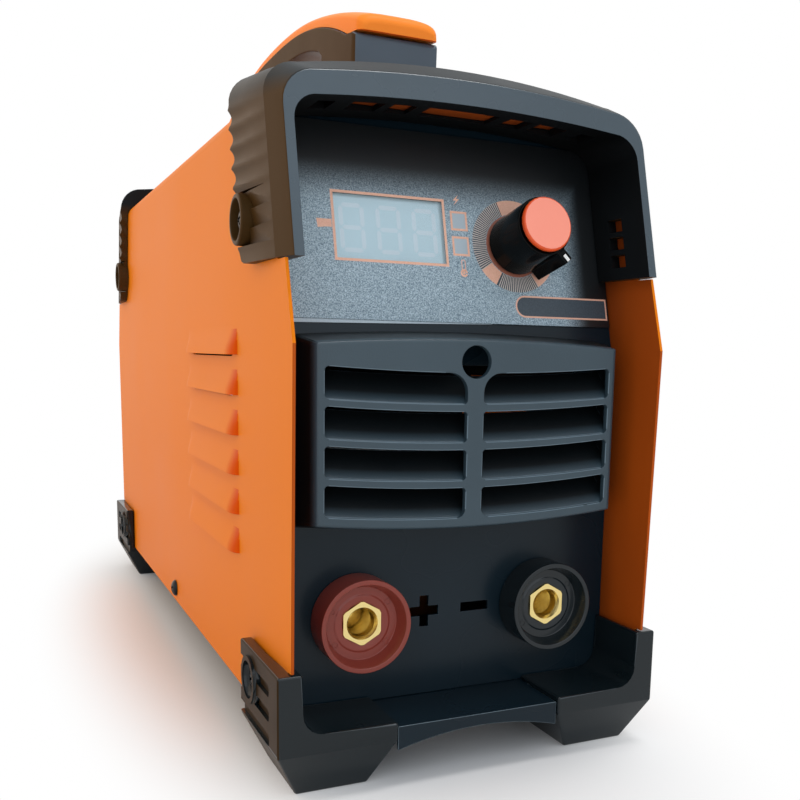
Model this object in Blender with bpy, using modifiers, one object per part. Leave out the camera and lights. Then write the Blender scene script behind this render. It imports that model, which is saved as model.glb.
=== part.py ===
"""Stick welding inverter: a sheet-metal case with moulded hoods and feet, its front and rear
panels, output sockets, carrying handle, fan and the power electronics inside.

Frame: +Z up, the front faces -Y, origin at the middle of the footprint on the floor.
All sizes are in metres. A "depth" is measured back from the foremost edge of the cover.
"""
from math import atan, cos, pi, radians, sin

import bmesh
import bpy
from mathutils import Matrix, Vector

# ---- case ----------------------------------------------------------------------------------
CASE_WIDTH = 0.130          # over the cover's side walls
CASE_LENGTH = 0.368         # between the foremost and rearmost edges of the cover
CASE_TOP = 0.2165           # top face of the cover above the floor
CASE_BOTTOM = 0.0185        # lower edge of the cover's sides above the floor
SHEET = 0.0010              # cover sheet
PANEL_SHEET = 0.0012        # base, front and rear sheets
COVER_BEND = 0.0050         # outer radius of the cover's two bends
GAP = 0.0003                # clearance between pieces that touch
LEAN = atan(0.25)           # backward lean of the hoods and of the control panel
PANEL_DEPTH = 0.0270        # depth of the lower front panel
PANEL_BEND_Z = 0.1380       # height at which the front panel starts to lean back
PANEL_FLANGE = 0.0240       # length of the end panels' side flanges
EDGE_BEND_Z = 0.1400        # height of the foremost point of the cover's edge
EDGE_LOW_DEPTH = 0.0030     # depth of the cover's edge at its lower end
EDGE_TOP_SLOPE = 0.30       # run per rise of the cover's edge above its foremost point
# ---- hoods ---------------------------------------------------------------------------------
HOOD_BOTTOM = 0.1645
HOOD_FACE_DEPTH = 0.0031    # depth of the hood's face at its lower edge
HOOD_INSET = 0.0016         # how far the face sits inside the cover's side
HOOD_LEG = 0.0031           # width of the face beside the opening
HOOD_CORNER = 0.0110
HOOD_SHOULDER = 0.0025      # height of the corners above the cover's top
HOOD_CREST = 0.0058         # height of the face's middle above the cover's top
HOOD_FACE_HEIGHT = 0.0079   # height of the face above the opening
HOOD_OPENING_CORNER = 0.0080
HOOD_FLARE_DEPTH = 0.0090
HOOD_FLARE = 0.0028         # outward flare over that depth
HOOD_RISE = 0.0042          # rise of its top over that depth
HOOD_SPREAD = 0.0029        # further spread to the rear edge
HOOD_LENGTH = 0.0405
HOOD_SEAT = 0.0115          # from the hood's face back to the edge of the cover inside it
WINDOW_DEPTH = 0.0124       # from the hood's face back to the windows in its sleeve
WINDOW_LENGTH = 0.0080
WINDOW_COUNT = 3            # in each side of the sleeve
WINDOW_PITCH = 0.0062
WINDOW_HEIGHT = 0.0043
WINDOW_LIFT = 0.0043        # from the hood's lower edge to the lowest window
CEILING_COUNT = 6           # windows in the ceiling of the sleeve
CEILING_PITCH = 0.0120
CEILING_WIDTH = 0.0084
CEILING_HEIGHT = 0.0046
BOSS_RADIUS = 0.0080
BOSS_REACH = 0.0055         # how far a screw boss stands out from the cover
BOSS_FLOOR = 0.0018
BOSS_RIM = 0.0017
HOOD_BOSS_DEPTH = 0.0429
HOOD_BOSS_Z = 0.1782
# ---- feet ----------------------------------------------------------------------------------
FOOT_FACE_DEPTH = 0.0013
FOOT_REACH = 0.0042         # how far a foot stands out from the cover
FOOT_LEG = 0.0080
FOOT_TOP = 0.0413
FOOT_SHELF = 0.0218
FOOT_SHELF_DEPTH = 0.0210
FOOT_CORNER = 0.0070
FOOT_INNER = 0.0299         # half distance between the feet's inner ends
FOOT_CHAMFER_Z = 0.0156
FOOT_CHAMFER = 0.0078
FOOT_SLOPE = 0.0072         # run of the sloping faces under the front and rear of a foot
FOOT_LENGTH = 0.0450
FOOT_WALL = 0.0042          # from the foot's face back to the edge of the cover inside it
FOOT_BOSS_DEPTH = 0.0335
FOOT_BOSS_Z = 0.0308
# ---- base and screws -----------------------------------------------------------------------
LEDGE_DEPTH = 0.0022
LIP_DROP = 0.0080
LIP_ARCH = 0.0040
BASE_FLANGE = 0.0140
POST_RADIUS = 0.0030
POST_PLACES = (0.04, 0.50, 0.96)    # the posts' places along the main board
COVER_SCREW_DEPTH = 0.1885
COVER_SCREW_Z = 0.0249
SCREW_RADIUS = 0.0019
SCREW_HEAD = 0.0038
SCREW_HEAD_HEIGHT = 0.0020
SCREW_LENGTH = 0.0080
SCREW_CLEARANCE = 0.0004
# ---- louvres -------------------------------------------------------------------------------
LOUVRE_COUNT = 6
LOUVRE_PITCH = 0.0139
LOUVRE_LOWEST_Z = 0.0667
LOUVRE_DEPTH = 0.0635
LOUVRE_LENGTH = 0.0825
LOUVRE_RISE = 0.0028
LOUVRE_HEIGHT = 0.0100
# ---- control panel, measured up its slope from the bend ------------------------------------
OVERLAY_SHEET = 0.0005
OVERLAY_START = 0.0103
DISPLAY_X = -0.0202
DISPLAY_WIDTH = 0.0400
DISPLAY_UP = 0.0412
DISPLAY_HEIGHT = 0.0226
DISPLAY_SHEET = 0.0011
DISPLAY_RIM = 0.0012
LAMP_X = 0.0053
LAMP_SIZE = 0.0056
LAMP_UPS = {"overheat_lamp": 0.0369, "power_lamp": 0.0457}
KNOB_X = 0.0263
KNOB_UP = 0.0382
KNOB_RADIUS = 0.0105
KNOB_TOP_RADIUS = 0.0100
KNOB_TOP = 0.0205
KNOB_LIFT = 0.0010
KNOB_RECESS = 0.0032
KNOB_FIN = 0.0144
KNOB_FIN_WIDTH = 0.0035
KNOB_FIN_TOP = 0.0190
KNOB_ANGLE = radians(-50)   # direction of the pointer at rest, its highest setting
CAP_RADIUS = 0.0092
CAP_HEIGHT = 0.0021
SHAFT_RADIUS = 0.0030
SHAFT_TOP = 0.0165
BUSHING_WALL = 0.0012
BUSHING_TOP = 0.0035
POT_RADIUS = 0.0082
POT_NUT_FLATS = 0.0062
POT_NUT_HEIGHT = 0.0022
BOARD_STANDOFF = 0.0095
BOARD_SHEET = 0.0016
BOARD_WIDTH = 0.1060
BOARD_HEIGHT = 0.0520
BOARD_START = 0.0150
STUD_RADIUS = 0.0015
STUD_INSET = 0.0050
# ---- grille --------------------------------------------------------------------------------
GRILLE_STAND = 0.0158       # how far the grille's face stands in front of the panel
GRILLE_HALF = 0.0545
GRILLE_DRAFT = 0.0025
GRILLE_BOTTOM = 0.0845
GRILLE_HEIGHT = 0.0560
GRILLE_TOP_ARCH = 0.0019
GRILLE_BOTTOM_ARCH = 0.0030
GRILLE_WALL = 0.0020
SLOT_OUTER = 0.0030         # from the grille's edge to its slots
SLOT_BAR = 0.0060           # width of the bar between the two columns of slots
SLOT_ROWS = 4
SLOT_HEIGHT = 0.0089
SLOT_PITCH = 0.0123
SLOT_LOWEST = 0.0034        # from the grille's lower edge to its lowest slot
BLADE_RUN = 0.0075
BLADE_SHEET = 0.0012
GRILLE_HOLE = 0.0051
GRILLE_HOLE_DROP = 0.0053   # from the grille's top edge down to the round hole
VENT_MARGIN = 0.0040
# ---- sockets -------------------------------------------------------------------------------
SOCKET_X = 0.0353
SOCKET_Z = 0.0497
SOCKET_RADIUS = 0.0156
SOCKET_STAND = 0.0114
SOCKET_RIM = 0.0017
SOCKET_DISH = 0.0050
SOCKET_NECK = 0.0105
SOCKET_NECK_LENGTH = 0.0125
SOCKET_LINER = 0.0064       # radius of the brass body inside the neck
CONTACT_PROUD = 0.0006
CONTACT_FLATS = 0.0133
CONTACT_HEAD = 0.0040
CONTACT_BORE = 0.0046
CONTACT_BORE_DEPTH = 0.0200
CONTACT_KEY = 0.0016
CONTACT_BODY = 0.0260
CONTACT_STUD = 0.0040
CONTACT_STUD_LENGTH = 0.0100
NUT_FLATS = 0.0270
NUT_HEIGHT = 0.0050
SIGN_X = 0.0098
SIGN_SIZE = 0.0110
SIGN_BAR = 0.0034
# ---- handle --------------------------------------------------------------------------------
HANDLE_DEPTH = 0.0815
HANDLE_POST = 0.0350
HANDLE_HALF = 0.0176
HANDLE_FLARE = 0.0015       # how far each post leans outwards over its height
HANDLE_SPLIT = 0.0544       # from the cover's top to the joint below the cap, at mid length
HANDLE_DROP = 0.0170        # fall of that joint towards the shoulders near the handle's ends
HANDLE_SHOULDER = 0.0091    # length of the flatter shoulders
HANDLE_SHOULDER_DROP = 0.0015
GRIP_THICKNESS = 0.0087
GRIP_DROP = 0.0084          # fall of the grip's underside towards the posts
HANDLE_CURVE = 2.6          # powers of the joint's, the grip's and the cap's arches
GRIP_CURVE = 3.3
HANDLE_CAP_CURVE = 2.1
HANDLE_CAP_HALF = 0.0165
HANDLE_CAP_HEIGHT = 0.0059
HANDLE_CAP_DROP = 0.0184
HANDLE_CAP_OVERHANG = 0.0020
HANDLE_HOLE = 0.0100
# ---- rear panel: fan, switch, gland and earth screw ----------------------------------------
FAN_SIZE = 0.0920
FAN_DEPTH = 0.0254
FAN_Z = 0.0760
FAN_BORE = 0.0430
FAN_HOLES = 0.0825
FAN_HUB = 0.0175
FAN_MOUNT = 0.0030
FAN_STRUT = 0.0040
FAN_AXLE = 0.0016
FAN_CLEARANCE = 0.0006
FAN_BLADES = 7
FAN_TIP_CLEARANCE = 0.0022
FAN_BLADE_SHEET = 0.0014
FAN_BLADE_CHORD = 0.0220
FAN_BLADE_PITCH = radians(38)
GUARD_WIRE = 0.0010
GUARD_RINGS = 4
GUARD_PITCH = 0.0095
SWITCH_X = 0.0300
SWITCH_UP = 0.0460
SWITCH_WIDTH = 0.0210
SWITCH_HEIGHT = 0.0300
SWITCH_BEZEL = 0.0020
SWITCH_RIM = 0.0015
SWITCH_DEPTH = 0.0180
ROCKER_WIDTH = 0.0140
ROCKER_RADIUS = 0.0106
ROCKER_THROW = radians(12)
ROCKER_WING = radians(14)   # rise of the rocker's two ends above its pivot
ROCKER_PIVOT = 0.0010
ROCKER_CLEARANCE = 0.0006
GLAND_X = -0.0300
GLAND_UP = 0.0460
GLAND_RADIUS = 0.0098
GLAND_BORE = 0.0052
GLAND_NECK = 0.0078
GLAND_FLATS = 0.0225
GLAND_HEX_HEIGHT = 0.0060
GLAND_SHOULDER = 0.0119
GLAND_REACH = 0.0170
GLAND_NECK_LENGTH = 0.0100
GLAND_NUT_HEIGHT = 0.0040
EARTH_X = 0.0500
EARTH_UP = 0.0190
EARTH_RADIUS = 0.0029
EARTH_FLATS = 0.0100
EARTH_HEAD = 0.0040
EARTH_LENGTH = 0.0120
# ---- power electronics ---------------------------------------------------------------------
MAIN_BOARD_Z = 0.0280
MAIN_BOARD_DEPTH = 0.0640
MAIN_BOARD_LENGTH = 0.2150
MAIN_BOARD_MARGIN = 0.0045  # from the base's flanges to the board's edges
HEATSINK_DEPTH = 0.1100
HEATSINK_LENGTH = 0.1150
HEATSINK_WIDTH = 0.0380
HEATSINK_HEIGHT = 0.0700
HEATSINK_BASE = 0.0060
HEATSINK_FIN = 0.0022
HEATSINK_FINS = 5
HEATSINK_X = 0.0340
CORE_DEPTH = 0.0700
CORE_LENGTH = 0.0280
CORE_WIDTH = 0.0500
CORE_HEIGHT = 0.0480
CORE_LIMB = 0.0120
CORE_SIDE = 0.0080
WINDING = 0.0100
CHOKE_X = -0.0420
CHOKE_DEPTH = 0.0860
CHOKE_RADIUS = 0.0150
CHOKE_HOLE = 0.0065
CHOKE_HEIGHT = 0.0150
RECTIFIER_X = 0.0420
RECTIFIER_SIZE = 0.0280
RECTIFIER_HEIGHT = 0.0100
CAPACITOR_X = 0.0200
CAPACITOR_DEPTH = 0.2500
CAPACITOR_RADIUS = 0.0150
CAPACITOR_HEIGHT = 0.0450

FRONT = -CASE_LENGTH / 2
HALF = CASE_WIDTH / 2
INSIDE = HALF - SHEET - GAP         # half width of what stands inside the cover
OUTSIDE = HALF + GAP                # inner half width of what wraps the cover
FLOOR_TOP = CASE_BOTTOM + GAP + PANEL_SHEET
FLANGE_TOP = FLOOR_TOP + BASE_FLANGE
OVERLAY_FACE = GAP + OVERLAY_SHEET  # height of the overlay's face above the control panel
BOARD_FACE = -PANEL_SHEET - BOARD_STANDOFF
MAIN_BOARD_TOP = MAIN_BOARD_Z + BOARD_SHEET
SCREW_HOLE = SCREW_RADIUS + SCREW_CLEARANCE
BUSHING = SHAFT_RADIUS + GAP + BUSHING_WALL
ROUND = 20
FAR = 0.1                           # how far a cutter runs past what it cuts
HALF_TURN = Matrix.Rotation(pi, 4, "Z")
VIEWS = {
    "plan": Matrix.Identity(4),
    "front": Matrix(((1, 0, 0, 0), (0, 0, -1, 0), (0, 1, 0, 0), (0, 0, 0, 1))),
    "side": Matrix(((0, 0, 1, 0), (1, 0, 0, 0), (0, 1, 0, 0), (0, 0, 0, 1))),
}


# ---- scene and materials -------------------------------------------------------------------
def start_scene():
    for obj in list(bpy.data.objects):
        bpy.data.objects.remove(obj, do_unlink=True)
    for name in ("stick_welding_inverter", "cutters"):
        group = bpy.data.collections.new(name)
        bpy.context.scene.collection.children.link(group)


def move_to(obj, collection):
    for group in list(obj.users_collection):
        group.objects.unlink(obj)
    bpy.data.collections[collection].objects.link(obj)


def material(name, colour, roughness, metallic=0.0):
    made = bpy.data.materials.get(name) or bpy.data.materials.new(name)
    made.use_nodes = True
    shader = made.node_tree.nodes["Principled BSDF"]
    shader.inputs["Base Color"].default_value = (*colour, 1.0)
    shader.inputs["Roughness"].default_value = roughness
    shader.inputs["Metallic"].default_value = metallic
    return made


def orange_paint():
    return material("orange_paint", (0.80, 0.22, 0.03), 0.45)


def black_paint():
    return material("black_paint", (0.012, 0.014, 0.016), 0.4)


def black_abs():
    return material("black_abs", (0.022, 0.024, 0.026), 0.5)


def slate_abs():
    return material("slate_abs", (0.035, 0.035, 0.04), 0.4)


def slate_film():
    return material("slate_film", (0.10, 0.12, 0.15), 0.4)


def orange_abs():
    return material("orange_abs", (0.95, 0.21, 0.02), 0.25)


def zinc_steel():
    return material("zinc_steel", (0.62, 0.62, 0.60), 0.35, 1.0)


def black_steel():
    return material("black_steel", (0.03, 0.03, 0.03), 0.35, 0.8)


def brass():
    return material("brass", (0.80, 0.58, 0.24), 0.25, 1.0)


def copper():
    return material("copper", (0.80, 0.40, 0.25), 0.3, 1.0)


def aluminium():
    return material("aluminium", (0.75, 0.76, 0.78), 0.4, 1.0)


def fibreglass():
    return material("fibreglass", (0.03, 0.16, 0.06), 0.5)


def ferrite():
    return material("ferrite", (0.05, 0.05, 0.05), 0.6)


# ---- outlines ------------------------------------------------------------------------------
def arc(centre, radius, start, end, steps=5):
    turns = [start + (end - start) * i / steps for i in range(steps + 1)]
    return [(centre[0] + radius * cos(a), centre[1] + radius * sin(a)) for a in turns]


def circle(centre, radius, steps=ROUND):
    return arc(centre, radius, 0, 2 * pi, steps)[:-1]


def rectangle(left, right, low, high):
    return [(left, low), (right, low), (right, high), (left, high)]


def hexagon(centre, flats):
    corner = flats / 2 / cos(pi / 6)
    return [(centre[0] + corner * sin(pi * i / 3), centre[1] + corner * cos(pi * i / 3))
            for i in range(6)]


def both_sides(right_half):
    """A closed outline from its right half, listed from the bottom to the top."""
    return right_half + [(-x, y) for x, y in reversed(right_half) if x > 0]


def bow(half, edge, rise, steps=6):
    """Points along a shallow arch from +half to the middle, `rise` above its ends."""
    shares = [1 - i / steps for i in range(steps + 1)]
    return [(half * s, edge + rise * (1 - s * s)) for s in shares]


def arched_opening(half, bottom, corner, shoulder, crest):
    """Upright sides, round upper corners and a bowed top."""
    centre = (half - corner, shoulder - corner)
    top = bow(half - corner, shoulder, crest - shoulder)
    return both_sides([(half, bottom)] + arc(centre, corner, 0, pi / 2)[:-1] + top)


# ---- shapes --------------------------------------------------------------------------------
def new_object(name, mesh):
    obj = bpy.data.objects.new(name, mesh)
    bpy.context.scene.collection.objects.link(obj)
    return obj


def closed(mesh):
    """Weld a mesh and turn its faces outwards."""
    work = bmesh.new()
    work.from_mesh(mesh)
    bmesh.ops.remove_doubles(work, verts=work.verts, dist=0.000005)
    bmesh.ops.recalc_face_normals(work, faces=work.faces)
    work.to_mesh(mesh)
    work.free()
    return mesh


def finished(obj):
    """The object with its modifiers applied, in world space."""
    name = obj.name
    graph = bpy.context.evaluated_depsgraph_get()
    mesh = bpy.data.meshes.new_from_object(obj.evaluated_get(graph))
    mesh.transform(obj.matrix_world)
    bpy.data.objects.remove(obj)
    return new_object(name, closed(mesh))


def prism(name, outlines, view, start, end):
    """Extrude flat outlines (later ones are holes) between two stations of a view's axis."""
    curve = bpy.data.curves.new(name, "CURVE")
    curve.dimensions = "2D"
    curve.fill_mode = "BOTH"
    curve.extrude = abs(end - start) / 2
    for outline in outlines:
        spline = curve.splines.new("POLY")
        spline.points.add(len(outline) - 1)
        for point, (x, y) in zip(spline.points, outline):
            point.co = (x, y, 0, 1)
        spline.use_cyclic_u = True
    flat = finished(new_object(name, curve))
    middle = (start + end) / 2
    along = Matrix.Translation((0, 0, -middle if view == "front" else middle))
    return moved(flat, VIEWS[view] @ along)


def turned(name, profile, steps=ROUND):
    """Turn a profile of (radius, height) about +Z. It closes on itself or on the axis."""
    mesh = bpy.data.meshes.new(name)
    edges = [(i, i + 1) for i in range(len(profile) - 1)]
    if profile[0][0] > 0 or profile[-1][0] > 0:
        edges.append((len(profile) - 1, 0))
    mesh.from_pydata([(r, 0, z) for r, z in profile], edges, [])
    made = new_object(name, mesh)
    screw = made.modifiers.new("turn", "SCREW")
    screw.axis = "Z"
    screw.steps = steps
    screw.render_steps = steps
    screw.use_merge_vertices = True
    screw.merge_threshold = 0.00001
    return finished(made)


def loft(name, sections):
    """Skin like outlines at several stations along Y. Each section is (station, outline)."""
    work = bmesh.new()
    rings = [[work.verts.new((x, y, z)) for x, z in outline] for y, outline in sections]
    for ring, after in zip(rings, rings[1:]):
        for i in range(len(ring)):
            work.faces.new((ring[i - 1], ring[i], after[i], after[i - 1]))
    work.faces.new(rings[0])
    work.faces.new(rings[-1])
    mesh = bpy.data.meshes.new(name)
    work.to_mesh(mesh)
    work.free()
    return new_object(name, closed(mesh))


def box(name, low, high):
    bpy.ops.mesh.primitive_cube_add(size=1)
    made = bpy.context.object
    made.name = name
    low, high = Vector(low), Vector(high)
    size = Matrix.Diagonal((*(high - low), 1))
    return moved(made, Matrix.Translation((low + high) / 2) @ size)


def rod(name, start, end, radius, steps=ROUND):
    """A cylinder between two points."""
    start, end = Vector(start), Vector(end)
    axis = end - start
    bpy.ops.mesh.primitive_cylinder_add(vertices=steps, radius=radius, depth=axis.length)
    made = bpy.context.object
    made.name = name
    turn = axis.to_track_quat("Z", "Y").to_matrix().to_4x4()
    return moved(made, Matrix.Translation((start + end) / 2) @ turn)


def ring(name, centre, radius, wire):
    """A torus about the Y axis."""
    bpy.ops.mesh.primitive_torus_add(major_radius=radius, minor_radius=wire,
                                     major_segments=24, minor_segments=5)
    made = bpy.context.object
    made.name = name
    return moved(made, Matrix.Translation(centre) @ Matrix.Rotation(pi / 2, 4, "X"))


def moved(obj, matrix):
    """Move the shape itself, so that the object's own origin stays where it is."""
    obj.data.transform(matrix)
    return obj


def leaned(obj, from_z):
    """Shear a shape so that it leans back, from a given height."""
    shear = Matrix.Identity(4)
    shear[1][2] = sin(LEAN) / cos(LEAN)
    shear[1][3] = -from_z * sin(LEAN) / cos(LEAN)
    return moved(obj, shear)


def joined(name, objects):
    """One mesh that holds several solids, for use as a cutter or an addition."""
    whole = bmesh.new()
    for obj in objects:
        obj = finished(obj)
        whole.from_mesh(obj.data)
        bpy.data.objects.remove(obj)
    mesh = bpy.data.meshes.new(name)
    whole.to_mesh(mesh)
    whole.free()
    return new_object(name, mesh)


def combine(obj, operation, tools):
    for tool in tools:
        move_to(tool, "cutters")
        tool.hide_render = True
        tool.display_type = "WIRE"
        step = obj.modifiers.new(tool.name, "BOOLEAN")
        step.operation = operation
        step.solver = "EXACT"
        step.object = tool
    return obj


def cut(obj, *tools):
    return combine(obj, "DIFFERENCE", tools)


def add(obj, *tools):
    return combine(obj, "UNION", tools)


def part(obj, look, matrix=None, parent=None):
    """Keep an object as a sub-part, with its material and its place."""
    obj = finished(obj)
    obj.data.name = obj.name
    obj.data.materials.clear()
    obj.data.materials.append(look)
    obj.data.shade_smooth()
    obj.data.set_sharp_from_angle(angle=radians(30))
    if parent is not None:
        obj.parent = parent
    elif matrix is not None:
        obj.matrix_world = matrix
    move_to(obj, "stick_welding_inverter")
    bpy.context.view_layer.update()
    return obj


def copied(obj, name, matrix):
    """Another object of the same shape, moved or mirrored by a matrix."""
    twin = new_object(name, obj.data.copy())
    moved(twin, matrix)
    if matrix.determinant() < 0:
        twin.data.flip_normals()
    move_to(twin, "stick_welding_inverter")
    return twin


def on_panel(x, up, out=0.0):
    """A place on the leaning part of the front panel: X right, Y up the slope, Z outwards."""
    right = Vector((1, 0, 0))
    slope = Vector((0, sin(LEAN), cos(LEAN)))
    normal = Vector((0, -cos(LEAN), sin(LEAN)))
    frame = Matrix((right, slope, normal)).transposed().to_4x4()
    bend = Vector((0, FRONT + PANEL_DEPTH, PANEL_BEND_Z))
    frame.translation = bend + right * x + slope * up + normal * out
    return frame


def slope_length(rise):
    return rise / cos(LEAN)


# ---- screws --------------------------------------------------------------------------------
def pan_screw(name, seat, direction, look):
    """A pan-head screw whose head rests at `seat` and points in `direction`."""
    head = arc((0, 0), SCREW_HEAD, pi / 2, 0, 3)
    dome = [(x, SCREW_HEAD_HEIGHT * y / SCREW_HEAD) for x, y in head]
    shank = [(SCREW_RADIUS, 0), (SCREW_RADIUS, -SCREW_LENGTH), (0, -SCREW_LENGTH)]
    made = turned(name, dome + shank, 12)
    turn = Vector(direction).to_track_quat("Z", "Y").to_matrix().to_4x4()
    return part(made, look, Matrix.Translation(seat) @ turn)


def boss(name, depth, height):
    """The solid part of a screw boss on the right side wall."""
    y = FRONT + depth
    return rod(name, (INSIDE, y, height), (HALF + BOSS_REACH, y, height), BOSS_RADIUS)


def boss_recess(depth, height):
    y = FRONT + depth
    floor = OUTSIDE + BOSS_FLOOR
    recess = rod("recess", (floor, y, height), (FAR, y, height), BOSS_RADIUS - BOSS_RIM)
    hole = rod("hole", (INSIDE - FAR / 2, y, height), (floor + BOSS_FLOOR, y, height), SCREW_HOLE)
    return recess, hole


def side_hole(depth, height):
    """A screw hole through both side walls."""
    y = FRONT + depth
    return rod("side_hole", (-FAR, y, height), (FAR, y, height), SCREW_HOLE, 16)


# ---- base ----------------------------------------------------------------------------------
def base_pan():
    bottom = FLOOR_TOP - PANEL_SHEET
    end = -FRONT - LEDGE_DEPTH
    flange_end = -FRONT - PANEL_DEPTH
    pan = box("base_pan", (-INSIDE, -end, bottom), (INSIDE, end, FLOOR_TOP))
    lip_low = FLOOR_TOP - LIP_DROP
    lip_half = FOOT_INNER - GAP
    root = FLOOR_TOP - PANEL_SHEET / 2
    lip_edge = both_sides([(lip_half, root)] + bow(lip_half, lip_low, LIP_ARCH))
    added = []
    for side in (-1, 1):
        wall = sorted((side * INSIDE, side * (INSIDE - PANEL_SHEET)))
        added.append(box("flange", (wall[0], -flange_end, root), (wall[1], flange_end, FLANGE_TOP)))
        lip = sorted((side * end, side * (end - PANEL_SHEET)))
        added.append(prism("lip", [lip_edge], "front", *lip))
        for share in POST_PLACES:
            x = side * (INSIDE - PANEL_SHEET - MAIN_BOARD_MARGIN - 2 * POST_RADIUS)
            y = FRONT + MAIN_BOARD_DEPTH + share * MAIN_BOARD_LENGTH
            added.append(rod("post", (x, y, root), (x, y, MAIN_BOARD_Z - GAP), POST_RADIUS, 10))
    shelf_end = -FRONT - FOOT_SHELF_DEPTH - GAP
    notches = []
    for side in (-1, 1):
        x = sorted((side * lip_half, side * FAR))
        for station in (-1, 1):
            y = sorted((station * shelf_end, station * (end + FAR)))
            notches.append(box("notch", (x[0], y[0], 0), (x[1], y[1], FLOOR_TOP + GAP)))
    holes = [side_hole(depth, FOOT_BOSS_Z)
             for depth in (FOOT_BOSS_DEPTH, CASE_LENGTH - FOOT_BOSS_DEPTH)]
    holes.append(side_hole(COVER_SCREW_DEPTH, COVER_SCREW_Z))
    return part(cut(add(pan, joined("base_added", added)), *notches, *holes), black_paint())


# ---- cover ---------------------------------------------------------------------------------
def cover_section(name, grow, start, end):
    """The cover's bent sheet, or the room around it when `grow` is more than nothing."""
    outer, inner = HALF + grow, HALF - SHEET - grow
    radius = COVER_BEND + grow
    inner_radius = COVER_BEND - SHEET - grow
    bottom = CASE_BOTTOM - grow
    middle = CASE_TOP - COVER_BEND
    right = arc((outer - radius, middle), radius, 0, pi / 2)
    under = arc((inner - inner_radius, middle), inner_radius, pi / 2, 0)
    outside = [(outer, bottom)] + right
    inside = under + [(inner, bottom)]
    left = [(-x, z) for x, z in reversed(outside)]
    outline = outside + left + [(-x, z) for x, z in reversed(inside)] + inside
    return prism(name, [outline], "front", start, end)


def before_edge():
    """Everything in front of the cover's front edge."""
    notch_top = FOOT_TOP + GAP
    low = FRONT + EDGE_LOW_DEPTH * (EDGE_BEND_Z - notch_top) / (EDGE_BEND_Z - CASE_BOTTOM)
    step = HOOD_BOTTOM - GAP
    seat = FRONT + HOOD_FACE_DEPTH + HOOD_SEAT
    lean = sin(LEAN) / cos(LEAN)
    edge = [
        (FRONT + FOOT_FACE_DEPTH + FOOT_WALL, 0),
        (FRONT + FOOT_FACE_DEPTH + FOOT_WALL, notch_top),
        (low, notch_top),
        (FRONT, EDGE_BEND_Z),
        (FRONT + EDGE_TOP_SLOPE * (step - EDGE_BEND_Z), step),
        (seat, step),
        (seat + lean * FAR, step + FAR),
        (FRONT - FAR, step + FAR),
        (FRONT - FAR, 0),
    ]
    return prism("before_edge", [edge], "side", -FAR, FAR)


def louvre_shapes(name, right, start, end):
    """The same cross-section at every louvre of both sides."""
    made = []
    for row in range(LOUVRE_COUNT):
        z = LOUVRE_LOWEST_Z + row * LOUVRE_PITCH
        for side in (-1, 1):
            outline = [(side * x, z + h) for x, h in right]
            made.append(prism(name, [outline], "front", start, end))
    return joined(name, made)


def louvre_scoops():
    """Scoops pressed out of the side walls, open along their lower lips."""
    lip, upright, inner = HALF + LOUVRE_RISE, LOUVRE_HEIGHT / 3, HALF - SHEET / 2
    outline = [(inner, 0), (lip, 0), (lip, upright), (HALF, LOUVRE_HEIGHT), (inner, LOUVRE_HEIGHT)]
    start = FRONT + LOUVRE_DEPTH
    return louvre_shapes("scoops", outline, start, start + LOUVRE_LENGTH)


def louvre_rooms():
    """What is open inside the scoops, down through their lips."""
    lip, upright, inner = HALF + LOUVRE_RISE - SHEET, LOUVRE_HEIGHT / 3, HALF - 2 * SHEET
    outline = [(inner, -GAP), (lip, -GAP), (lip, upright), (inner, LOUVRE_HEIGHT - SHEET)]
    start = FRONT + LOUVRE_DEPTH + SHEET
    return louvre_shapes("rooms", outline, start, start + LOUVRE_LENGTH - 2 * SHEET)


def cover():
    sheet = cover_section("cover", 0, FRONT, -FRONT)
    add(sheet, louvre_scoops())
    cut(sheet, louvre_rooms())
    cut(sheet, before_edge())
    cut(sheet, moved(before_edge(), HALF_TURN))
    holes = [side_hole(COVER_SCREW_DEPTH, COVER_SCREW_Z)]
    for depth, height in ((HOOD_BOSS_DEPTH, HOOD_BOSS_Z), (FOOT_BOSS_DEPTH, FOOT_BOSS_Z)):
        holes += [side_hole(depth, height), side_hole(CASE_LENGTH - depth, height)]
    for y in handle_posts():
        holes.append(rod("hole", (0, y, CASE_TOP - FAR / 2), (0, y, CASE_TOP + FAR / 2), SCREW_HOLE))
    return part(cut(sheet, *holes), orange_paint())


# ---- hoods ---------------------------------------------------------------------------------
def hood_outline(spread, rise):
    half = HALF - HOOD_INSET + spread
    shoulder = CASE_TOP + HOOD_SHOULDER + rise
    return arched_opening(half, HOOD_BOTTOM, HOOD_CORNER, shoulder, CASE_TOP + HOOD_CREST + rise)


def sleeve_windows(face):
    """Small windows through the sleeve, beside and above the control panel."""
    start = face + WINDOW_DEPTH
    end = start + WINDOW_LENGTH
    half = INSIDE + GAP
    top = CASE_TOP - SHEET
    made = []
    for i in range(WINDOW_COUNT):
        z = HOOD_BOTTOM + WINDOW_LIFT + WINDOW_PITCH * i
        made.append(box("window", (-half, start, z), (half, end, z + WINDOW_HEIGHT)))
    for i in range(CEILING_COUNT):
        x = CEILING_PITCH * (i - CEILING_COUNT / 2)
        made.append(box("window", (x, start, top - CEILING_HEIGHT), (x + CEILING_WIDTH, end, top)))
    return joined("windows", made)


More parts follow.
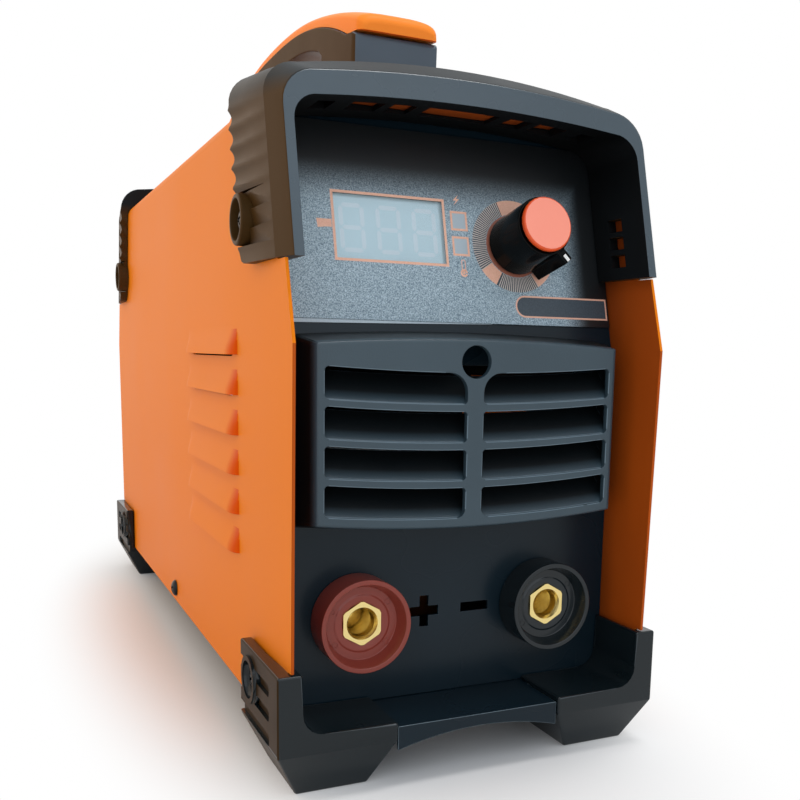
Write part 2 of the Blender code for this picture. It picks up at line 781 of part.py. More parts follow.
def front_hood():
    face = FRONT + HOOD_FACE_DEPTH
    flare = face + HOOD_FLARE_DEPTH
    sections = [
        (face, hood_outline(0, 0)),
        (flare, hood_outline(HOOD_FLARE, HOOD_RISE)),
        (face + HOOD_LENGTH, hood_outline(HOOD_FLARE + HOOD_SPREAD, HOOD_RISE + HOOD_SPREAD)),
    ]
    hood = leaned(loft("front_hood", sections), HOOD_BOTTOM)
    right = boss("boss", HOOD_BOSS_DEPTH, HOOD_BOSS_Z)
    left = moved(boss("boss", HOOD_BOSS_DEPTH, HOOD_BOSS_Z), Matrix.Rotation(pi, 4, "Z"))
    left = moved(left, Matrix.Translation((0, 2 * (FRONT + HOOD_BOSS_DEPTH), 0)))
    add(hood, right, left)
    half = HALF - HOOD_INSET - HOOD_LEG
    crest = CASE_TOP + HOOD_CREST - HOOD_FACE_HEIGHT
    opening = arched_opening(half, HOOD_BOTTOM - FAR, HOOD_OPENING_CORNER,
                             crest - HOOD_FLARE, crest)
    sleeve_end = FRONT + sleeve_depth()
    inner = prism("opening", [opening], "front", face - FAR, sleeve_end + GAP)
    room = arched_opening(INSIDE, HOOD_BOTTOM - FAR, COVER_BEND, CASE_TOP - SHEET - GAP,
                          CASE_TOP - SHEET - GAP)
    behind = prism("behind", [room], "front", sleeve_end, face + FAR)
    slot = cover_section("slot", GAP, face + HOOD_SEAT - GAP, face + FAR)
    windows = sleeve_windows(face)
    for tool in (inner, behind, slot, windows):
        cut(hood, leaned(tool, HOOD_BOTTOM))
    recess, hole = boss_recess(HOOD_BOSS_DEPTH, HOOD_BOSS_Z)
    mirror = Matrix.Diagonal((-1, 1, 1, 1))
    both = [recess, hole]
    for tool in (recess, hole):
        twin = new_object(tool.name, tool.data.copy())
        moved(twin, mirror).data.flip_normals()
        both.append(twin)
    return part(cut(hood, *both), black_abs())


def sleeve_depth():
    """Depth of the sleeve's end at the hood's lower edge, just in front of the overlay."""
    face = on_panel(0, OVERLAY_START, OVERLAY_FACE + GAP).translation
    run = (HOOD_BOTTOM - face.z) * sin(LEAN) / cos(LEAN)
    return face.y - FRONT + run


# ---- feet ----------------------------------------------------------------------------------
def foot():
    """The front right foot."""
    outer = OUTSIDE + FOOT_REACH
    leg = outer - FOOT_LEG
    corner = arc((leg - FOOT_CORNER, FOOT_SHELF + FOOT_CORNER), FOOT_CORNER, 0, -pi / 2)
    outline = [(outer - FOOT_CHAMFER, 0), (outer, FOOT_CHAMFER_Z), (outer, FOOT_TOP), (leg, FOOT_TOP)]
    outline += corner + [(FOOT_INNER, FOOT_SHELF), (FOOT_INNER, FOOT_CHAMFER_Z),
                         (FOOT_INNER + FOOT_CHAMFER, 0)]
    face = FRONT + FOOT_FACE_DEPTH
    back = face + FOOT_LENGTH
    made = prism("foot_front_right", [outline], "front", face, back)
    add(made, boss("boss", FOOT_BOSS_DEPTH, FOOT_BOSS_Z))
    low = FLOOR_TOP - PANEL_SHEET - GAP
    shelf_end = FRONT + FOOT_SHELF_DEPTH
    panel = FRONT + PANEL_DEPTH - GAP
    slope = [(face, FOOT_CHAMFER_Z), (face + FOOT_SLOPE, 0), (face + FOOT_SLOPE, -FAR),
             (face - FAR, -FAR), (face - FAR, FOOT_CHAMFER_Z)]
    rear_slope = [(face + back - y, z) for y, z in slope]
    cut(made, box("floor_room", (0, shelf_end, low), (OUTSIDE, back + FAR, FLOOR_TOP + GAP)))
    cut(made, box("panel_room", (0, panel, low), (OUTSIDE, back + FAR, FAR)))
    cut(made, box("wall_slot", (INSIDE, face + FOOT_WALL - GAP, CASE_BOTTOM - GAP),
                  (OUTSIDE, back + FAR, FAR)))
    cut(made, prism("slope", [slope], "side", 0, FAR), prism("slope", [rear_slope], "side", 0, FAR))
    return part(cut(made, *boss_recess(FOOT_BOSS_DEPTH, FOOT_BOSS_Z)), black_abs())


def feet():
    right = foot()
    copied(right, "foot_front_left", Matrix.Diagonal((-1, 1, 1, 1)))
    copied(right, "foot_rear_right", Matrix.Diagonal((1, -1, 1, 1)))
    copied(right, "foot_rear_left", Matrix.Diagonal((-1, -1, 1, 1)))


# ---- front and rear sheets -----------------------------------------------------------------
def end_panel(name):
    """A bent sheet with side flanges, as it stands at the front."""
    low = FLOOR_TOP + GAP
    bend = FRONT + PANEL_DEPTH
    top = CASE_TOP - SHEET - GAP
    lean = sin(LEAN) / cos(LEAN)

    def section(depth, bottom, ceiling):
        shift = lean * (ceiling - PANEL_BEND_Z)
        return [(bend, bottom), (bend + depth, bottom), (bend + depth, PANEL_BEND_Z),
                (bend + depth + shift, ceiling), (bend + shift, ceiling), (bend, PANEL_BEND_Z)]

    sheet = prism(name, [section(PANEL_SHEET, low, top)], "side", -INSIDE, INSIDE)
    ceiling = CASE_TOP - COVER_BEND
    foot_of_flange = FLANGE_TOP + GAP
    flange = section(PANEL_FLANGE, foot_of_flange, ceiling)
    add(sheet, prism("flange", [flange], "side", INSIDE - PANEL_SHEET, INSIDE),
        prism("flange", [flange], "side", -INSIDE, -INSIDE + PANEL_SHEET))
    inner = INSIDE - PANEL_SHEET - GAP
    corner = top - COVER_BEND
    for side in (-1, 1):
        x = sorted((side * inner, side * FAR))
        cut(sheet, box("corner", (x[0], bend - FAR, 0), (x[1], bend + FAR, foot_of_flange)))
        x = sorted((side * (INSIDE - COVER_BEND), side * FAR))
        cut(sheet, box("corner", (x[0], bend - FAR, corner), (x[1], bend + FAR, FAR * 3)))
    return cut(sheet, side_hole(HOOD_BOSS_DEPTH, HOOD_BOSS_Z))


def sheet_cut(name, outlines, matrix):
    """A cutter through the leaning sheet, drawn on the panel."""
    return moved(prism(name, outlines, "plan", -PANEL_SHEET * 4, PANEL_SHEET * 4), matrix)


def across_panel(name, outline):
    """A cutter through the upright part of the front panel."""
    middle = FRONT + PANEL_DEPTH
    return prism(name, [outline], "front", middle - PANEL_SHEET * 3, middle + PANEL_SHEET * 3)


def rectangle_about(width, height):
    return rectangle(-width / 2, width / 2, -height / 2, height / 2)


def panel_openings(grow):
    """The display's, lamps' and potentiometer's openings in the leaning panel."""
    grow = 2 * grow
    display = rectangle_about(DISPLAY_WIDTH + grow, DISPLAY_HEIGHT + grow)
    made = [sheet_cut("display", [display], on_panel(DISPLAY_X, DISPLAY_UP))]
    lamp = rectangle_about(LAMP_SIZE + grow, LAMP_SIZE + grow)
    made += [sheet_cut("lamp", [lamp], on_panel(LAMP_X, up)) for up in LAMP_UPS.values()]
    bushing = circle((0, 0), BUSHING + grow / 2)
    return made + [sheet_cut("bushing", [bushing], on_panel(KNOB_X, KNOB_UP))]


def front_panel():
    panel = end_panel("front_panel")
    studs = []
    inset = STUD_INSET
    for side in (-1, 1):
        for up in (BOARD_START + inset, BOARD_START + BOARD_HEIGHT - inset):
            x = side * (BOARD_WIDTH / 2 - inset)
            root = on_panel(x, up, -PANEL_SHEET / 2).translation
            tip = on_panel(x, up, BOARD_FACE + GAP).translation
            studs.append(rod("stud", root, tip, STUD_RADIUS, 12))
    add(panel, *studs)
    cut(panel, *panel_openings(GAP))
    vent_half = GRILLE_HALF - GRILLE_WALL - VENT_MARGIN
    vent = rectangle(-vent_half, vent_half, GRILLE_BOTTOM + VENT_MARGIN,
                     PANEL_BEND_Z - VENT_MARGIN)
    bar, size = SIGN_BAR / 2, SIGN_SIZE / 2
    minus = rectangle(SIGN_X - size, SIGN_X + size, SOCKET_Z - bar, SOCKET_Z + bar)
    upright = rectangle(-SIGN_X - bar, -SIGN_X + bar, SOCKET_Z - size, SOCKET_Z + size)
    across = [(x - 2 * SIGN_X, z) for x, z in minus]
    cut(panel, across_panel("vent", vent), across_panel("minus", minus))
    cut(panel, across_panel("plus_upright", upright))
    cut(panel, across_panel("plus_across", across))
    for side in (-1, 1):
        neck = circle((side * SOCKET_X, SOCKET_Z), SOCKET_NECK + GAP)
        cut(panel, across_panel("neck", neck))
    return part(panel, black_paint())


def rear_panel():
    panel = end_panel("rear_panel")
    hole = FAN_HOLES / 2
    tools = [across_panel("fan", circle((0, FAN_Z), FAN_BORE, 30))]
    for x in (-hole, hole):
        for z in (FAN_Z - hole, FAN_Z + hole):
            tools.append(across_panel("pin", circle((x, z), SCREW_HOLE, 12)))
    switch = rectangle_about(SWITCH_WIDTH - 2 * SWITCH_RIM + 2 * GAP,
                             SWITCH_HEIGHT - 2 * SWITCH_RIM + 2 * GAP)
    tools.append(sheet_cut("switch", [switch], on_panel(SWITCH_X, SWITCH_UP)))
    gland = circle((0, 0), GLAND_NECK + GAP)
    tools.append(sheet_cut("gland", [gland], on_panel(GLAND_X, GLAND_UP)))
    earth = circle((0, 0), EARTH_RADIUS + GAP)
    tools.append(sheet_cut("earth", [earth], on_panel(EARTH_X, EARTH_UP)))
    return part(moved(finished(cut(panel, *tools)), HALF_TURN), black_paint())


# ---- control panel -------------------------------------------------------------------------
def control_overlay():
    top = slope_length(CASE_TOP - COVER_BEND - PANEL_BEND_Z)
    half = INSIDE - GAP
    film = sheet_cut("control_overlay", [rectangle(-half, half, OVERLAY_START, top)], on_panel(0, 0))
    below = box("below", (-FAR, -FAR, -FAR), (FAR, FAR * 2, GAP))
    above = box("above", (-FAR, -FAR, OVERLAY_FACE), (FAR, FAR * 2, FAR))
    cut(film, moved(below, on_panel(0, 0)), moved(above, on_panel(0, 0)))
    return part(cut(film, *panel_openings(GAP)), slate_film())


def display():
    pane = rectangle_about(DISPLAY_WIDTH, DISPLAY_HEIGHT)
    top = OVERLAY_FACE - GAP
    window = prism("display_window", [pane], "plan", top - DISPLAY_SHEET, top)
    clear = material("smoked_acrylic", (0.60, 0.65, 0.70), 0.1)
    part(window, clear, on_panel(DISPLAY_X, DISPLAY_UP))
    rim = 2 * DISPLAY_RIM
    block = rectangle_about(DISPLAY_WIDTH - rim, DISPLAY_HEIGHT - rim)
    module = prism("display_module", [block], "plan", BOARD_FACE + GAP, top - DISPLAY_SHEET - GAP)
    grey = material("display_grey", (0.55, 0.60, 0.66), 0.3)
    part(module, grey, on_panel(DISPLAY_X, DISPLAY_UP))


def lamps():
    looks = {
        "power_lamp": material("green_lens", (0.10, 0.40, 0.12), 0.3),
        "overheat_lamp": material("amber_lens", (0.70, 0.30, 0.05), 0.3),
    }
    for name, up in LAMP_UPS.items():
        lens = prism(name, [rectangle_about(LAMP_SIZE, LAMP_SIZE)], "plan",
                     BOARD_FACE + GAP, OVERLAY_FACE)
        part(lens, looks[name], on_panel(LAMP_X, up))


def control_board():
    outline = rectangle(-BOARD_WIDTH / 2, BOARD_WIDTH / 2, BOARD_START, BOARD_START + BOARD_HEIGHT)
    board = prism("control_board", [outline], "plan", BOARD_FACE - BOARD_SHEET, BOARD_FACE)
    return part(board, fibreglass(), on_panel(0, 0))


def potentiometer():
    back = BOARD_FACE + GAP
    shoulder = -PANEL_SHEET - GAP
    bore = SHAFT_RADIUS + GAP
    floor = back + BUSHING_WALL
    body = turned("potentiometer", [
        (0, back), (POT_RADIUS, back), (POT_RADIUS, shoulder), (BUSHING, shoulder),
        (BUSHING, OVERLAY_FACE + BUSHING_TOP), (bore, OVERLAY_FACE + BUSHING_TOP), (bore, floor),
        (0, floor)])
    part(body, zinc_steel(), on_panel(KNOB_X, KNOB_UP))
    nut = prism("pot_nut", [hexagon((0, 0), 2 * POT_NUT_FLATS), circle((0, 0), BUSHING + GAP)],
                "plan", OVERLAY_FACE + GAP, OVERLAY_FACE + GAP + POT_NUT_HEIGHT)
    part(nut, zinc_steel(), on_panel(KNOB_X, KNOB_UP))


def current_knob():
    base = OVERLAY_FACE + KNOB_LIFT
    top = OVERLAY_FACE + KNOB_TOP - GAP
    ceiling = base + KNOB_RECESS
    bore = SHAFT_RADIUS + GAP
    shaft_top = OVERLAY_FACE + SHAFT_TOP
    recess = POT_NUT_FLATS / cos(pi / 6) + 2 * GAP
    body = turned("current_knob", [
        (0, top), (KNOB_TOP_RADIUS, top), (KNOB_RADIUS, base), (recess, base), (recess, ceiling),
        (bore, ceiling), (bore, shaft_top + GAP), (0, shaft_top + GAP)], 28)
    half = KNOB_FIN_WIDTH / 2
    middle = (recess + KNOB_TOP_RADIUS) / 2
    fin = box("fin", (middle, -half, base), (KNOB_FIN, half, OVERLAY_FACE + KNOB_FIN_TOP))
    axis = on_panel(KNOB_X, KNOB_UP) @ Matrix.Rotation(KNOB_ANGLE, 4, "Z")
    knob = part(add(body, fin), black_abs(), axis)
    cap = turned("knob_cap", [(0, top + GAP + CAP_HEIGHT), (CAP_RADIUS, top + GAP + CAP_HEIGHT),
                              (CAP_RADIUS, top + GAP), (0, top + GAP)], 28)
    part(cap, orange_abs(), parent=knob)
    low = BOARD_FACE + BUSHING_WALL + 2 * GAP
    shaft = rod("pot_shaft", (0, 0, low), (0, 0, shaft_top), SHAFT_RADIUS)
    part(shaft, zinc_steel(), parent=knob)


# ---- grille --------------------------------------------------------------------------------
def front_grille():
    back = FRONT + PANEL_DEPTH - GAP
    face = back - GRILLE_STAND + GAP
    top = GRILLE_BOTTOM + GRILLE_HEIGHT

    def outline(grow):
        half = GRILLE_HALF + grow
        upper = bow(half, top + grow, GRILLE_TOP_ARCH)
        lower = bow(half, GRILLE_BOTTOM - grow, -GRILLE_BOTTOM_ARCH)
        return both_sides(lower[::-1] + upper)

    shell = loft("front_grille", [(face, outline(0)), (back, outline(GRILLE_DRAFT))])
    hollow = loft("hollow", [(face + GRILLE_WALL, outline(-GRILLE_WALL)),
                             (back + GAP, outline(GRILLE_DRAFT - GRILLE_WALL))])
    cut(shell, hollow)
    slots, blades = [], []
    far, near = GRILLE_HALF - SLOT_OUTER, SLOT_BAR / 2
    for row in range(SLOT_ROWS):
        low = GRILLE_BOTTOM + SLOT_LOWEST + row * SLOT_PITCH
        drop = GRILLE_BOTTOM_ARCH * (1 - row / SLOT_ROWS) - GRILLE_TOP_ARCH * row / SLOT_ROWS
        slot = []
        for share in (0, 0.25, 0.5, 0.75, 1):
            x = near + (far - near) * share
            slot.append((x, low - drop * (1 - (x / GRILLE_HALF) ** 2)))
        slot += [(x, z + SLOT_HEIGHT) for x, z in reversed(slot)]
        for side in (slot, [(-x, z) for x, z in slot]):
            slots.append(prism("slot", [side], "front", face - GAP, face + GRILLE_WALL + GAP))
        start = face + GRILLE_WALL / 2
        rise = BLADE_RUN
        blade = [(start, low - BLADE_SHEET), (start + BLADE_RUN, low + rise - BLADE_SHEET),
                 (start + BLADE_RUN, low + rise), (start, low)]
        inner = GRILLE_HALF - GRILLE_WALL / 2
        blades.append(prism("blade", [blade], "side", -inner, inner))
    cut(shell, *slots)
    add(shell, *blades)
    hole_z = top + GRILLE_TOP_ARCH - GRILLE_HOLE_DROP - GAP
    hole = circle((0, hole_z), GRILLE_HOLE)
    cut(shell, prism("hole", [hole], "front", face - GAP, face + GRILLE_WALL + GAP))
    return part(shell, black_abs())


# ---- output sockets ------------------------------------------------------------------------
def sockets():
    panel = FRONT + PANEL_DEPTH
    outward = Matrix.Rotation(pi / 2, 4, "X")
    liner = SOCKET_LINER + GAP
    rear = -PANEL_SHEET - GAP
    dish = SOCKET_STAND - SOCKET_DISH
    head = CONTACT_FLATS / 2 / cos(pi / 6) + 2 * GAP
    seat = dish + CONTACT_PROUD - CONTACT_HEAD
    for side, end in ((-1, "positive"), (1, "negative")):
        axis = Matrix.Translation((side * SOCKET_X, panel, SOCKET_Z)) @ outward
        shell = turned("socket_shell_" + end, [
            (SOCKET_RADIUS, GAP), (SOCKET_RADIUS, SOCKET_STAND),
            (SOCKET_RADIUS - SOCKET_RIM, SOCKET_STAND), (SOCKET_RADIUS - SOCKET_RIM * 2, dish),
            (head, dish), (head, seat - GAP), (liner, seat - GAP), (liner, -SOCKET_NECK_LENGTH),
            (SOCKET_NECK, -SOCKET_NECK_LENGTH), (SOCKET_NECK, GAP)], 24)
        look = material("socket_" + end, (0.25, 0.05, 0.04) if side < 0 else (0.02, 0.02, 0.02), 0.4)
        part(shell, look, axis)
        front = dish + CONTACT_PROUD
        contact = prism("socket_contact_" + end, [hexagon((0, 0), CONTACT_FLATS)], "plan",
                        seat, front)
        back = seat - CONTACT_BODY
        add(contact, rod("body", (0, 0, back), (0, 0, seat + GAP), SOCKET_LINER),
            rod("stud", (0, 0, back - CONTACT_STUD_LENGTH), (0, 0, back + GAP), CONTACT_STUD))
        bore = rod("bore", (0, 0, front - CONTACT_BORE_DEPTH), (0, 0, front + GAP), CONTACT_BORE)
        key = box("key", (-CONTACT_KEY / 2, 0, front - CONTACT_HEAD),
                  (CONTACT_KEY / 2, CONTACT_BORE + CONTACT_KEY / 2, front + GAP))
        part(cut(contact, bore, key), brass(), axis)
        hole = circle((0, 0), SOCKET_NECK + GAP)
        nut = prism("socket_nut_" + end, [hexagon((0, 0), NUT_FLATS), hole], "plan",
                    rear - NUT_HEIGHT, rear)
        part(nut, black_abs(), axis)


# ---- handle --------------------------------------------------------------------------------
def handle_posts():
    """Stations of the two handle screws along Y."""
    inner = FRONT + HANDLE_DEPTH + HANDLE_POST / 2
    return inner, -inner


def arched(half_span, top, drop, power, steps=16):
    """Points along an arch that falls by `drop` at its ends, from the front to the rear."""
    shares = [2 * i / steps - 1 for i in range(steps + 1)]
    return [(half_span * s, top - drop * abs(s) ** power) for s in shares]


def handle_joint(end, top):
    """The joint between the handle's body and its cap, out to `end` from the middle."""
    shoulder = -FRONT - HANDLE_DEPTH - HANDLE_SHOULDER
    low = top - HANDLE_DROP - HANDLE_SHOULDER_DROP
    over = arched(shoulder, top, HANDLE_DROP, HANDLE_CURVE)
    return [(-end, low)] + over + [(end, low)]


def handle_body():
    reach = -FRONT - HANDLE_DEPTH
    foot_z = CASE_TOP + GAP
    split = CASE_TOP + HANDLE_SPLIT
    inner = reach - HANDLE_POST
    top = handle_joint(reach + HANDLE_FLARE, split)
    under = arched(inner, split - GRIP_THICKNESS, GRIP_DROP, GRIP_CURVE, 12)
    outline = [(-reach, foot_z)] + top + [(reach, foot_z), (inner, foot_z)]
    outline += under[::-1] + [(-inner, foot_z)]
    body = prism("handle_body", [outline], "side", -HANDLE_HALF, HANDLE_HALF)
    holes = [rod("hole", (0, y, CASE_TOP - FAR / 4), (0, y, foot_z + HANDLE_HOLE), SCREW_HOLE)
             for y in handle_posts()]
    return part(cut(body, *holes), slate_abs())


def handle_cap():
    end = -FRONT - HANDLE_DEPTH + HANDLE_FLARE + HANDLE_CAP_OVERHANG
    low = CASE_TOP + HANDLE_SPLIT + GAP
    under = handle_joint(end, low)
    over = arched(end, low + HANDLE_CAP_HEIGHT, HANDLE_CAP_DROP, HANDLE_CAP_CURVE)
    cap = prism("handle_cap", [under + over[::-1]], "side", -HANDLE_CAP_HALF, HANDLE_CAP_HALF)
    return part(cap, orange_abs())


# ---- rear panel: fan, switch, gland and earth screw ----------------------------------------
def fan():
    face = FRONT + PANEL_DEPTH + PANEL_SHEET + GAP
    back = face + FAN_DEPTH
    half, hole = FAN_SIZE / 2, FAN_HOLES / 2
    square = rectangle(-half, half, FAN_Z - half, FAN_Z + half)
    corners = [circle((x, z), SCREW_HOLE, 12) for x in (-hole, hole)
               for z in (FAN_Z - hole, FAN_Z + hole)]
    frame = prism("fan_frame", [square, circle((0, FAN_Z), FAN_BORE, 30)] + corners, "front",
                  face, back)
    mount_start = back - FAN_MOUNT
    mount = prism("mount", [circle((0, FAN_Z), FAN_HUB)], "front", mount_start, back)
    strut = FAN_STRUT / 2
    long_way = FAN_BORE + strut
    across = box("strut", (-long_way, mount_start, FAN_Z - strut), (long_way, back, FAN_Z + strut))
    upright = box("strut", (-strut, mount_start, FAN_Z - long_way), (strut, back, FAN_Z + long_way))
    for tool in (mount, across, upright):
        add(frame, tool)
    axle_room = rod("axle_room", (0, back - FAN_DEPTH, FAN_Z), (0, back + FAR, FAN_Z),
                    FAN_AXLE + GAP, 12)
    part(moved(finished(cut(frame, axle_room)), HALF_TURN), black_abs())
    hub_start = face + 2 * FAN_CLEARANCE
    hub_end = mount_start - FAN_CLEARANCE
    middle = (hub_start + hub_end) / 2
    rotor = rod("fan_rotor", (0, hub_start, 0), (0, hub_end, 0), FAN_HUB, 24)
    blades = [rod("axle", (0, hub_end - FAN_MOUNT, 0), (0, back, 0), FAN_AXLE, 12)]
    tip = FAN_BORE - FAN_TIP_CLEARANCE
    for i in range(FAN_BLADES):
        blade = box("blade", (-FAN_BLADE_SHEET / 2, -FAN_BLADE_CHORD / 2, FAN_HUB - FAN_MOUNT),
                    (FAN_BLADE_SHEET / 2, FAN_BLADE_CHORD / 2, tip))
        turn = Matrix.Rotation(2 * pi * i / FAN_BLADES, 4, "Y")
        pitch = Matrix.Rotation(FAN_BLADE_PITCH, 4, "Z")
        blades.append(moved(blade, Matrix.Translation((0, middle, 0)) @ turn @ pitch))
    for blade in blades:
        add(rotor, blade)
    part(moved(finished(rotor), HALF_TURN), black_abs(), Matrix.Translation((0, 0, FAN_Z)))


def fan_guard():
    panel = FRONT + PANEL_DEPTH
    spoke_y = panel - GAP - GUARD_WIRE
    ring_y = spoke_y - GUARD_WIRE
    corner = FAN_HOLES / 2
    guard = ring("fan_guard", (0, ring_y, FAN_Z), GUARD_RINGS * GUARD_PITCH, GUARD_WIRE)
    for i in range(1, GUARD_RINGS):
        add(guard, ring("ring", (0, ring_y, FAN_Z), i * GUARD_PITCH, GUARD_WIRE))
    for slope in (-1, 1):
        ends = [(x, spoke_y, FAN_Z + slope * x) for x in (-corner, corner)]
        add(guard, rod("spoke", *ends, GUARD_WIRE, 8))
        for x, y, z in ends:
            add(guard, rod("pin", (x, ring_y - GUARD_WIRE, z), (x, panel + FAN_DEPTH / 2, z),
                           SCREW_RADIUS, 12))
    return part(moved(finished(guard), HALF_TURN), black_steel())


def power_switch():
    place = HALF_TURN @ on_panel(SWITCH_X, SWITCH_UP)
    top = GAP + SWITCH_BEZEL
    body = box("power_switch_body", (-SWITCH_WIDTH / 2, -SWITCH_HEIGHT / 2, GAP),
               (SWITCH_WIDTH / 2, SWITCH_HEIGHT / 2, top))
    half_w, half_h = SWITCH_WIDTH / 2 - SWITCH_RIM, SWITCH_HEIGHT / 2 - SWITCH_RIM
    add(body, box("can", (-half_w, -half_h, -SWITCH_DEPTH), (half_w, half_h, GAP * 2)))
    room_w = ROCKER_WIDTH / 2 + GAP
    room_h = ROCKER_RADIUS + ROCKER_CLEARANCE
    floor = ROCKER_PIVOT - ROCKER_RADIUS - ROCKER_CLEARANCE
    cut(body, box("room", (-room_w, -room_h, floor), (room_w, room_h, FAR)))
    part(body, black_abs(), place)
    wings = arc((0, 0), ROCKER_RADIUS, ROCKER_WING, -pi - ROCKER_WING, 16)
    profile = wings + [(0, ROCKER_CLEARANCE)]
    rocker = prism("power_rocker", [profile], "side", -ROCKER_WIDTH / 2, ROCKER_WIDTH / 2)
    cut(rocker, box("underside", (-FAR, -FAR, -FAR), (FAR, FAR, -ROCKER_RADIUS / 2)))
    pivot = Matrix.Translation((0, 0, ROCKER_PIVOT))
    red = material("rocker_red", (0.45, 0.02, 0.02), 0.3)
    part(rocker, red, place @ pivot @ Matrix.Rotation(-ROCKER_THROW, 4, "X"))


def cable_gland():
    place = HALF_TURN @ on_panel(GLAND_X, GLAND_UP)
    gland = prism("cable_gland", [hexagon((0, 0), GLAND_FLATS)], "plan", GAP,
                  GAP + GLAND_HEX_HEIGHT)
    dome = turned("dome", [(0, GLAND_HEX_HEIGHT), (GLAND_RADIUS, GLAND_HEX_HEIGHT),
                           (GLAND_RADIUS, GLAND_SHOULDER), (GLAND_NECK, GLAND_REACH),
                           (0, GLAND_REACH)])
    add(gland, dome)
    add(gland, rod("neck", (0, 0, -GLAND_NECK_LENGTH), (0, 0, 2 * GAP), GLAND_NECK))
    cut(gland, rod("bore", (0, 0, -FAR / 4), (0, 0, FAR / 4), GLAND_BORE))
    part(gland, black_abs(), place)
    rear = -PANEL_SHEET - GAP
    hole = circle((0, 0), GLAND_NECK + GAP)
    nut = prism("gland_locknut", [hexagon((0, 0), GLAND_FLATS), hole], "plan",
                rear - GLAND_NUT_HEIGHT, rear)
    part(nut, black_abs(), place)


def earth_screw():
    screw = prism("earth_screw", [hexagon((0, 0), EARTH_FLATS)], "plan", GAP, GAP + EARTH_HEAD)
    add(screw, rod("shank", (0, 0, -EARTH_LENGTH), (0, 0, 2 * GAP), EARTH_RADIUS, 16))
    part(screw, brass(), HALF_TURN @ on_panel(EARTH_X, EARTH_UP))


# ---- power electronics ---------------------------------------------------------------------
def main_board():
    half = INSIDE - PANEL_SHEET - MAIN_BOARD_MARGIN
    start = FRONT + MAIN_BOARD_DEPTH
    board = box("main_board", (-half, start, MAIN_BOARD_Z),
                (half, start + MAIN_BOARD_LENGTH, MAIN_BOARD_TOP))
    return part(board, fibreglass())


def heatsinks():
    low = MAIN_BOARD_TOP + GAP
    start = FRONT + HEATSINK_DEPTH
    pitch = (HEATSINK_WIDTH - HEATSINK_FIN) / (HEATSINK_FINS - 1)
    for side, name in ((-1, "heatsink_left"), (1, "heatsink_right")):
        left = side * HEATSINK_X - HEATSINK_WIDTH / 2
        outline = [(left, low), (left + HEATSINK_WIDTH, low)]
        for i in reversed(range(HEATSINK_FINS)):
            x = left + pitch * i
            tooth = [(x + HEATSINK_FIN, low + HEATSINK_BASE),
                     (x + HEATSINK_FIN, low + HEATSINK_HEIGHT),
                     (x, low + HEATSINK_HEIGHT), (x, low + HEATSINK_BASE)]
            outline += tooth[0 if i < HEATSINK_FINS - 1 else 1:4 if i else 3]
        part(prism(name, [outline], "front", start, start + HEATSINK_LENGTH), aluminium())


def transformer():
    low = MAIN_BOARD_TOP + GAP
    middle = FRONT + CORE_DEPTH + CORE_LENGTH / 2
    half, limb = CORE_WIDTH / 2, CORE_LIMB / 2
    floor, ceiling = low + CORE_SIDE, low + CORE_HEIGHT - CORE_SIDE
    windows = [rectangle(limb, half - CORE_SIDE, floor, ceiling),
               rectangle(CORE_SIDE - half, -limb, floor, ceiling)]
    core = prism("transformer_core", [rectangle(-half, half, low, low + CORE_HEIGHT)] + windows,
                 "front", middle - CORE_LENGTH / 2, middle + CORE_LENGTH / 2)
    part(core, ferrite())
    hole_x, hole_y = limb + GAP, CORE_LENGTH / 2 + GAP
    hole = rectangle(-hole_x, hole_x, middle - hole_y, middle + hole_y)
    out_x, out_y = hole_x + WINDING, hole_y + WINDING
    outer = rectangle(-out_x, out_x, middle - out_y, middle + out_y)
    winding = prism("transformer_winding", [outer, hole], "plan", floor + GAP, ceiling - GAP)
    part(winding, copper())


def board_parts():
    low = MAIN_BOARD_TOP + GAP
    centre = (CHOKE_X, FRONT + CHOKE_DEPTH)
    choke = prism("output_choke", [circle(centre, CHOKE_RADIUS), circle(centre, CHOKE_HOLE)],
                  "plan", low, low + CHOKE_HEIGHT)
    part(choke, copper())
    half = RECTIFIER_SIZE / 2
    y = FRONT + CHOKE_DEPTH
    rectifier = box("bridge_rectifier", (RECTIFIER_X - half, y - half, low),
                    (RECTIFIER_X + half, y + half, low + RECTIFIER_HEIGHT))
    part(rectifier, ferrite())
    blue = material("capacitor_sleeve", (0.03, 0.06, 0.20), 0.4)
    for side, name in ((-1, "capacitor_left"), (1, "capacitor_right")):
        x, y = side * CAPACITOR_X, FRONT + CAPACITOR_DEPTH
        can = rod(name, (x, y, low), (x, y, low + CAPACITOR_HEIGHT), CAPACITOR_RADIUS)
        part(can, blue)


# ---- all screws ----------------------------------------------------------------------------
def screws():
    recessed = OUTSIDE + BOSS_FLOOR + GAP
    for side, hand in ((-1, "left"), (1, "right")):
        for end, station in (("front", 1), ("rear", -1)):
            for kind, depth, z in (("hood", HOOD_BOSS_DEPTH, HOOD_BOSS_Z),
                                   ("foot", FOOT_BOSS_DEPTH, FOOT_BOSS_Z)):
                seat = (side * recessed, station * (FRONT + depth), z)
                pan_screw(f"{kind}_screw_{end}_{hand}", seat, (side, 0, 0), black_steel())
        seat = (side * OUTSIDE, FRONT + COVER_SCREW_DEPTH, COVER_SCREW_Z)
        pan_screw("cover_screw_" + hand, seat, (side, 0, 0), black_steel())
    for y, end in zip(handle_posts(), ("front", "rear")):
        seat = (0, y, CASE_TOP - SHEET - GAP)
        pan_screw("handle_screw_" + end, seat, (0, 0, -1), zinc_steel())


start_scene()
base_pan()
front_panel()
rear_panel()
cover()
copied(front_hood(), "rear_hood", HALF_TURN)
front_grille()
feet()
control_overlay()
display()
lamps()
control_board()
potentiometer()
current_knob()
sockets()
handle_body()
handle_cap()
fan()
fan_guard()
power_switch()
cable_gland()
earth_screw()
main_board()
heatsinks()
transformer()
board_parts()
screws()
